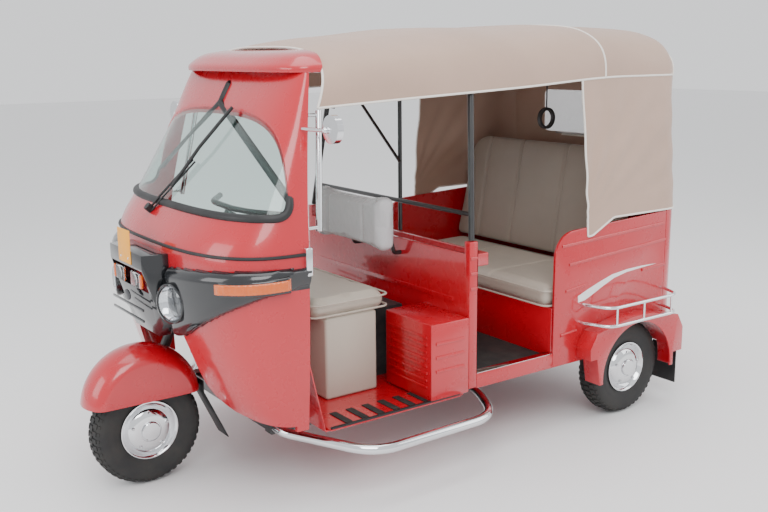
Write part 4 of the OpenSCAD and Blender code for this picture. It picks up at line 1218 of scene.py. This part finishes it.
class RICKSHAW_OT_body(bpy.types.Operator):
    """Ease the panels' edges and add ribs, stripes, mats, slats and edging"""

    bl_idname = "rickshaw.body"
    bl_label = "Body Panels"

    def execute(self, context):
        for node, bevel in (("partition", 0.003), ("bench_base", 0.004), ("side_panels", 0.003),
                            ("rear_panel", 0.006), ("rear_mudguards", 0.006), ("engine_box", 0.005),
                            ("front_mudguard", 0.003)):
            eased(node, bevel=bevel, body="steering" if node == "front_mudguard" else "body")
        rib = [(-0.007, -0.001), (-0.0055, 0.003), (-0.002, 0.0045), (0.002, 0.0045), (0.0055, 0.003),
               (0.007, -0.001)]
        wide = [(-0.010, -0.001), (-0.008, 0.0035), (0.008, 0.0035), (0.010, -0.001)]
        side_ribs("side_rib", SIDE_LINES, rib)
        stripe = plate("side_stripe", STRIPE, lambda u, v, w: at(u, w, v), HALF + 0.0002, HALF + 0.0012, 0)
        pair(stripe, "body_paint", material=FINISH["white_paint"])
        # mats, edging and the sill's bright strip
        mat = box("passenger_mat", at(0.448, -0.555, DECK + 0.0005), at(0.856, 0.555, DECK + 0.005), 0.002)
        settle(mat, "body", "trim_black", FINISH["floor_mat"])
        pair(box("sill_strip", at(0.445, 0.562, 0.3503), at(0.856, 0.598, 0.3533), 0.001), "chrome")
        pair(box("step_edge", at(0.944, 0.586, 0.2805), at(1.536, 0.601, 0.2875), 0.003), "gasket")
        pads = [box(f"step_tread_{k}", at(1.00 + 0.072 * k, 0.462, 0.2805), at(1.03 + 0.072 * k, 0.575, 0.284),
                    0.001) for k in range(7)]
        pair(joined("step_tread", pads), "trim_black", material=FINISH["floor_mat"])
        # slats of the engine cover's front, and the ribs on its sides
        slats = context.scene.rickshaw_sizes.louvres
        for side, tag in ((1, "left"), (-1, "right")):
            low_y, high_y = sorted((side * 0.325, side * 0.575))
            slat = box("engine_slat_" + tag, at(1.0865, low_y, 0.330), at(1.0905, high_y, 0.341), 0.0015)
            dress(spread(slat, slats, (0, 0, 0.226 / slats), FINISH["body_paint"]), "body", "body_paint")
        side_ribs("engine_rib", [[(0.925, z), (1.065, z)] for z in (0.40, 0.455, 0.51)], rib)
        # pressed lines of the partition's front and its slot
        for k, z in enumerate((0.40, 0.52, 0.64)):
            path = [at(PARTITION, -0.50, z), at(PARTITION, 0.50, z)]
            obj = sweep(f"partition_rib_{k}", path, [Vector((1, 0, 0))] * 2, wide)
            settle(obj, "body", "body_paint", FINISH["body_paint"])
        side_ribs("post_line", [[(0.864, z), (0.897, z)] for z in (0.70, 0.76, 0.82)], rib)
        lining = box("shelf_slot_lining", at(0.819, -0.54, 0.790), at(0.879, 0.54, 0.806), 0.002)
        settle(lining, "body", "seat_taupe", FINISH["seat_taupe"])
        # rubber flaps behind the rear wheels
        pair(box("rear_flap", at(-0.303, 0.520, 0.085), at(-0.298, 0.655, 0.262), 0.0015), "gasket")
        return {"FINISHED"}


class RICKSHAW_OT_tubes(bpy.types.Operator):
    """Draw the step bars, rails and hood frame as smooth tubes"""

    bl_idname = "rickshaw.tubes"
    bl_label = "Tubes and Rails"

    def execute(self, context):
        pair(tube("step_bar", [at(*p) for p in bent(STEP_BAR, 0.10, 8)], 0.019, 24), "chrome", "step_bars")
        for z in (0.460, 0.540):
            path = bent([(x, y, z) for x, y in GUARD_RAIL], 0.05, 6)
            rail = tube(f"guard_rail_{int(z * 1000)}", [at(*p) for p in path], 0.007, 16)
            pair(rail, "chrome", *(["mudguard_rails"] if z < 0.5 else []))
        for k, x in enumerate((0.20, 0.03, -0.15)):
            pair(tube(f"guard_post_{k}", [at(x, 0.730, 0.462), at(x, 0.730, 0.538)], 0.005, 12), "chrome")
        # hood frame: bows under the cloth, posts, cross-bar and the brace behind the driver
        bars = []
        for x in (0.24, 0.80, 1.436):
            arc = [hood(x, math.pi * k / 60, 0.019) for k in range(61)]
            bars.append(tube("bow", [p + Vector((0, 0, -0.008)) for p in arc], 0.009, 14))
        for side in (1, -1):
            bars.append(tube("post", [at(0.878, side * 0.582, 0.887), at(0.820, side * 0.500, 1.466)], 0.012, 18))
        bars.append(tube("bar", [at(0.870, -0.570, 0.985), at(0.870, 0.570, 0.985)], 0.009, 14))
        brace = [at(0.815, 0.03, 1.140), at(0.800, -0.30, 1.390), at(0.800, -0.47, 1.46)]
        bars.append(tube("brace", brace, 0.007, 12))
        bars.append(tube("prop", [at(0.790, 0, 0.834), at(0.790, 0, 1.672)], 0.009, 14))
        bars = [painted(b, FINISH["frame_black"]) for b in bars]
        dress(joined("hood_bars", bars), "body", "frame_black", "hood_frame")
        return {"FINISHED"}


class RICKSHAW_OT_nose(bpy.types.Operator):
    """Model the bumper, grille, lamps, plate and wiper"""

    bl_idname = "rickshaw.nose"
    bl_label = "Nose"

    def execute(self, context):
        # a pillowed guard each side, following the skin

        def inside(y, z):
            """How far a point is inside the guard's outline."""
            best, odd = 9.0, False
            for (ay, az), (by, bz) in zip(GUARD, GUARD[1:] + GUARD[:1]):
                if (az > z) != (bz > z) and y < (bz and (by - ay) * (z - az) / (bz - az) + ay):
                    odd = not odd
                dy, dz = by - ay, bz - az
                t = min(max(((y - ay) * dy + (z - az) * dz) / (dy * dy + dz * dz), 0), 1)
                best = min(best, math.hypot(y - ay - t * dy, z - az - t * dz))
            return best if odd else -best

        def guard():
            cols, rows = 100, 56
            points, faces, index = [], [], {}
            for i in range(rows + 1):
                z = 0.600 + 0.296 * i / rows
                for j in range(cols + 1):
                    phi = 0.22 + (math.pi / 2 - 0.22) * j / cols
                    p = cab(z, phi)
                    d = inside(p.y, z)
                    lift = 0.002 + 0.031 * math.sqrt(max(0.0, 1 - (1 - min(max(d, 0) / 0.035, 1)) ** 2))
                    if d > -0.004:
                        index[i, j] = len(points)
                        points.append(cab(z, phi, 0.0) + cab_normal(z, phi) * (lift if d > 0 else 0.0005))
            for i in range(rows):
                for j in range(cols):
                    ring = [(i, j), (i, j + 1), (i + 1, j + 1), (i + 1, j)]
                    if all(k in index for k in ring):
                        faces.append([index[k] for k in ring])
            obj = turn_out(new_mesh("bumper_guard", points, faces))
            mod = obj.modifiers.new("Wall", "SOLIDIFY")
            mod.thickness, mod.offset = 0.003, -1
            return crease(turn_out(baked(obj)), 50)

        pair(guard(), "bumper_black", "lamp_wings")

        # headlamps, turned outwards, each with a bezel, a bowl and a domed lens
        def headlamp(profile, name, steps=56):
            rows = []
            for k in range(steps + 1):
                t = 2 * math.pi * k / steps
                rows.append([Vector((o, r * 0.90 * math.cos(t), r * math.sin(t))) for r, o in profile])
            obj = loft(name, rows, angle=30)
            obj.data.transform(Matrix.Rotation(math.radians(LAMP_TURN), 4, "Z"))
            obj.data.transform(Matrix.Translation(at(*LAMP_AT)))
            return obj

        rim = headlamp([(0.060, 0.020), (0.071, 0.018), (0.074, 0.028), (0.072, 0.038), (0.067, 0.041),
                        (0.063, 0.038), (0.060, 0.030), (0.060, 0.020)], "lamp_bezel")
        bowl = headlamp([(0.0615, 0.034), (0.052, 0.016), (0.034, 0.004), (0.014, 0.000), (0.013, 0.014),
                         (0.0001, 0.016)], "lamp_bowl")
        lens = headlamp([(0.0625, 0.030), (0.0625, 0.036), (0.056, 0.043), (0.042, 0.050), (0.022, 0.0535),
                         (0.0001, 0.0545), (0.0001, 0.052), (0.022, 0.051), (0.042, 0.0475), (0.056, 0.0405),
                         (0.0605, 0.034), (0.0605, 0.030)], "lamp_lens")
        pair(rim, "bumper_black")
        pair(bowl, "chrome")
        pair(lens, "lamp_clear", "headlamps")

        # indicators: a ribbed lens along the guard's upper edge
        def indicator(low, high, lift, name, ribs):
            rows = []
            for i in range(13):
                v = i / 12
                row = []
                for j in range(73):
                    u = j / 72
                    z = low + (high - low) * v + 0.012 * u
                    phi = cab_phi(1.885 - 0.19 * u, z)
                    edge = min(1.0, 9 * v, 9 * (1 - v), 12 * u, 12 * (1 - u))
                    wave = 0.0012 * math.cos(2 * math.pi * 15 * u) if ribs else 0.0
                    row.append(cab(z, phi) + cab_normal(z, phi) * (0.026 + (lift + wave) * math.sqrt(edge)))
                rows.append(row)
            inner = [[p - Vector((0.006, 0.006, 0)) for p in row] for row in rows]
            return skin(name, rows, inner, 60)

        pair(indicator(0.800, 0.856, 0.008, "indicator_case", False), "bumper_black")
        pair(indicator(0.808, 0.848, 0.014, "indicator_lens", True), "lamp_orange", "indicators")

        # grille: a moulded face with two lamps behind bars, a ledge and a blank badge
        eased("front_grille", bevel=0.004)
        x = NOSE + 0.058 + 0.0325
        width = 0.085
        for k, y in enumerate((-0.075, 0.075)):
            lamp = box(f"grille_lamp_{k}", at(x - 0.012, y - width / 2, 0.778),
                       at(x - 0.002, y + width / 2, 0.832), 0.006, 3)
            settle(lamp, "body", "lamp_clear", FINISH["lamp_clear"])
            lamp = box(f"grille_marker_{k}", at(x - 0.012, math.copysign(0.128, y) - 0.008, 0.780),
                       at(x - 0.001, math.copysign(0.128, y) + 0.008, 0.830), 0.004, 3)
            settle(lamp, "body", "lamp_orange", FINISH["lamp_orange"])
        for k, z in enumerate((0.660, 0.700)):
            bar = box(f"grille_bar_{k}", at(x - 0.004, -0.150, z), at(x + 0.003, 0.150, z + 0.010), 0.003, 3)
            settle(bar, "body", "bumper_black", FINISH["bumper_black"])
        disc = plate("grille_badge", [(0.030 * math.cos(t), 0.020 * math.sin(t)) for t in
                                      (2 * math.pi * k / 40 for k in range(40))],
                     lambda u, v, w: at(w, u, 0.735 + v), x - 0.002, x + 0.002, 0.001)
        settle(disc, "body", "bumper_black", FINISH["badge"])

        # the plate keeps its face blank
        eased("number_plate", bevel=0.0008)
        (lx, _, lz), (hx, _, hz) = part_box("number_plate")
        for k, y in enumerate((-0.035, 0.035)):
            t = (PLATE_HOLE_Z - lz) / (hz - lz)
            obj = lathe("plate_screw_" + str(k), [(0.0045, 0.0), (0.0050, 0.0012), (0.0035, 0.0026), (0.0001, 0.003)],
                        (0, 0, 0), 1, 20, 30)
            obj.data.transform(Matrix.Rotation(-math.pi / 2, 4, "Z"))
            moved(obj, (hx + (lx - hx) * t, y, PLATE_HOLE_Z))
            settle(obj, "body", "chrome", FINISH["chrome"])

        # wiper
        rubber = FINISH["trim_black"]
        arm = [at(1.889, -0.100, 1.030), at(1.862, -0.055, 1.082), at(1.768, 0.040, 1.216)]
        low, high = at(1.836, -0.006, 1.117), at(1.652, 0.150, 1.407)
        bits = [tube("wiper_arm", arm, 0.0045, 12),
                tube("wiper_arm", [p + Vector((0.0, 0.020, -0.006)) for p in arm], 0.0035, 12),
                tube("wiper_blade", [low, low.lerp(high, 0.5) + Vector((0.008, 0, 0.003)), high], 0.0065, 12),
                tube("wiper_knob", [at(1.872, -0.100, 1.012), at(1.902, -0.100, 1.040)], 0.015, 24)]
        bits = [painted(b, rubber) for b in bits]
        dress(joined("wiper_set", bits), "body", "trim_black", "wiper")

        # bright clips at the door edges
        clip = box("door_clip", at(DOOR - 0.008, HALF - 0.012, 0.855), at(DOOR + 0.018, HALF + 0.012, 0.955), 0.006, 3)
        pair(clip, "chrome")
        return {"FINISHED"}


class RICKSHAW_OT_steering(bpy.types.Operator):
    """Show the fork, its flap and the handlebar with eased edges"""

    bl_idname = "rickshaw.steering"
    bl_label = "Steering"

    def execute(self, context):
        for node in ("front_fork", "front_flap"):
            eased(node, bevel=0.002, body="steering")
        eased("handlebar", bevel=0.001, body="steering")
        return {"FINISHED"}


# ---- the panel ----

ORDER = ("finishes", "stage", "cab", "nose", "body", "tubes", "seats", "hood", "steering", "wheels")


class RICKSHAW_PT_build(bpy.types.Panel):
    """Lists the steps that build the vehicle"""

    bl_idname = "RICKSHAW_PT_build"
    bl_label = "Auto Rickshaw"
    bl_space_type = "VIEW_3D"
    bl_region_type = "UI"
    bl_category = "Rickshaw"

    def draw(self, context):
        for group in (context.scene.rickshaw_colours, context.scene.rickshaw_sizes):
            for key in group.bl_rna.properties.keys():
                if key not in ("rna_type", "name"):
                    self.layout.prop(group, key)
        for step in ORDER:
            self.layout.operator("rickshaw." + step)


CLASSES = (RickshawColours, RickshawSizes, RICKSHAW_OT_finishes, RICKSHAW_OT_stage, RICKSHAW_OT_cab,
           RICKSHAW_OT_nose, RICKSHAW_OT_body, RICKSHAW_OT_tubes, RICKSHAW_OT_seats, RICKSHAW_OT_hood,
           RICKSHAW_OT_steering, RICKSHAW_OT_wheels, RICKSHAW_PT_build)


def register():
    for cls in CLASSES:
        bpy.utils.register_class(cls)
    bpy.types.Scene.rickshaw_colours = bpy.props.PointerProperty(type=RickshawColours)
    bpy.types.Scene.rickshaw_sizes = bpy.props.PointerProperty(type=RickshawSizes)


def unregister():
    del bpy.types.Scene.rickshaw_sizes
    del bpy.types.Scene.rickshaw_colours
    for cls in reversed(CLASSES):
        bpy.utils.unregister_class(cls)


def main():
    register()
    for step in ORDER:
        result = getattr(bpy.ops.rickshaw, step)()
        if result != {"FINISHED"}:
            raise RuntimeError(f"{step} did not finish")


if __name__ == "__main__":
    main()
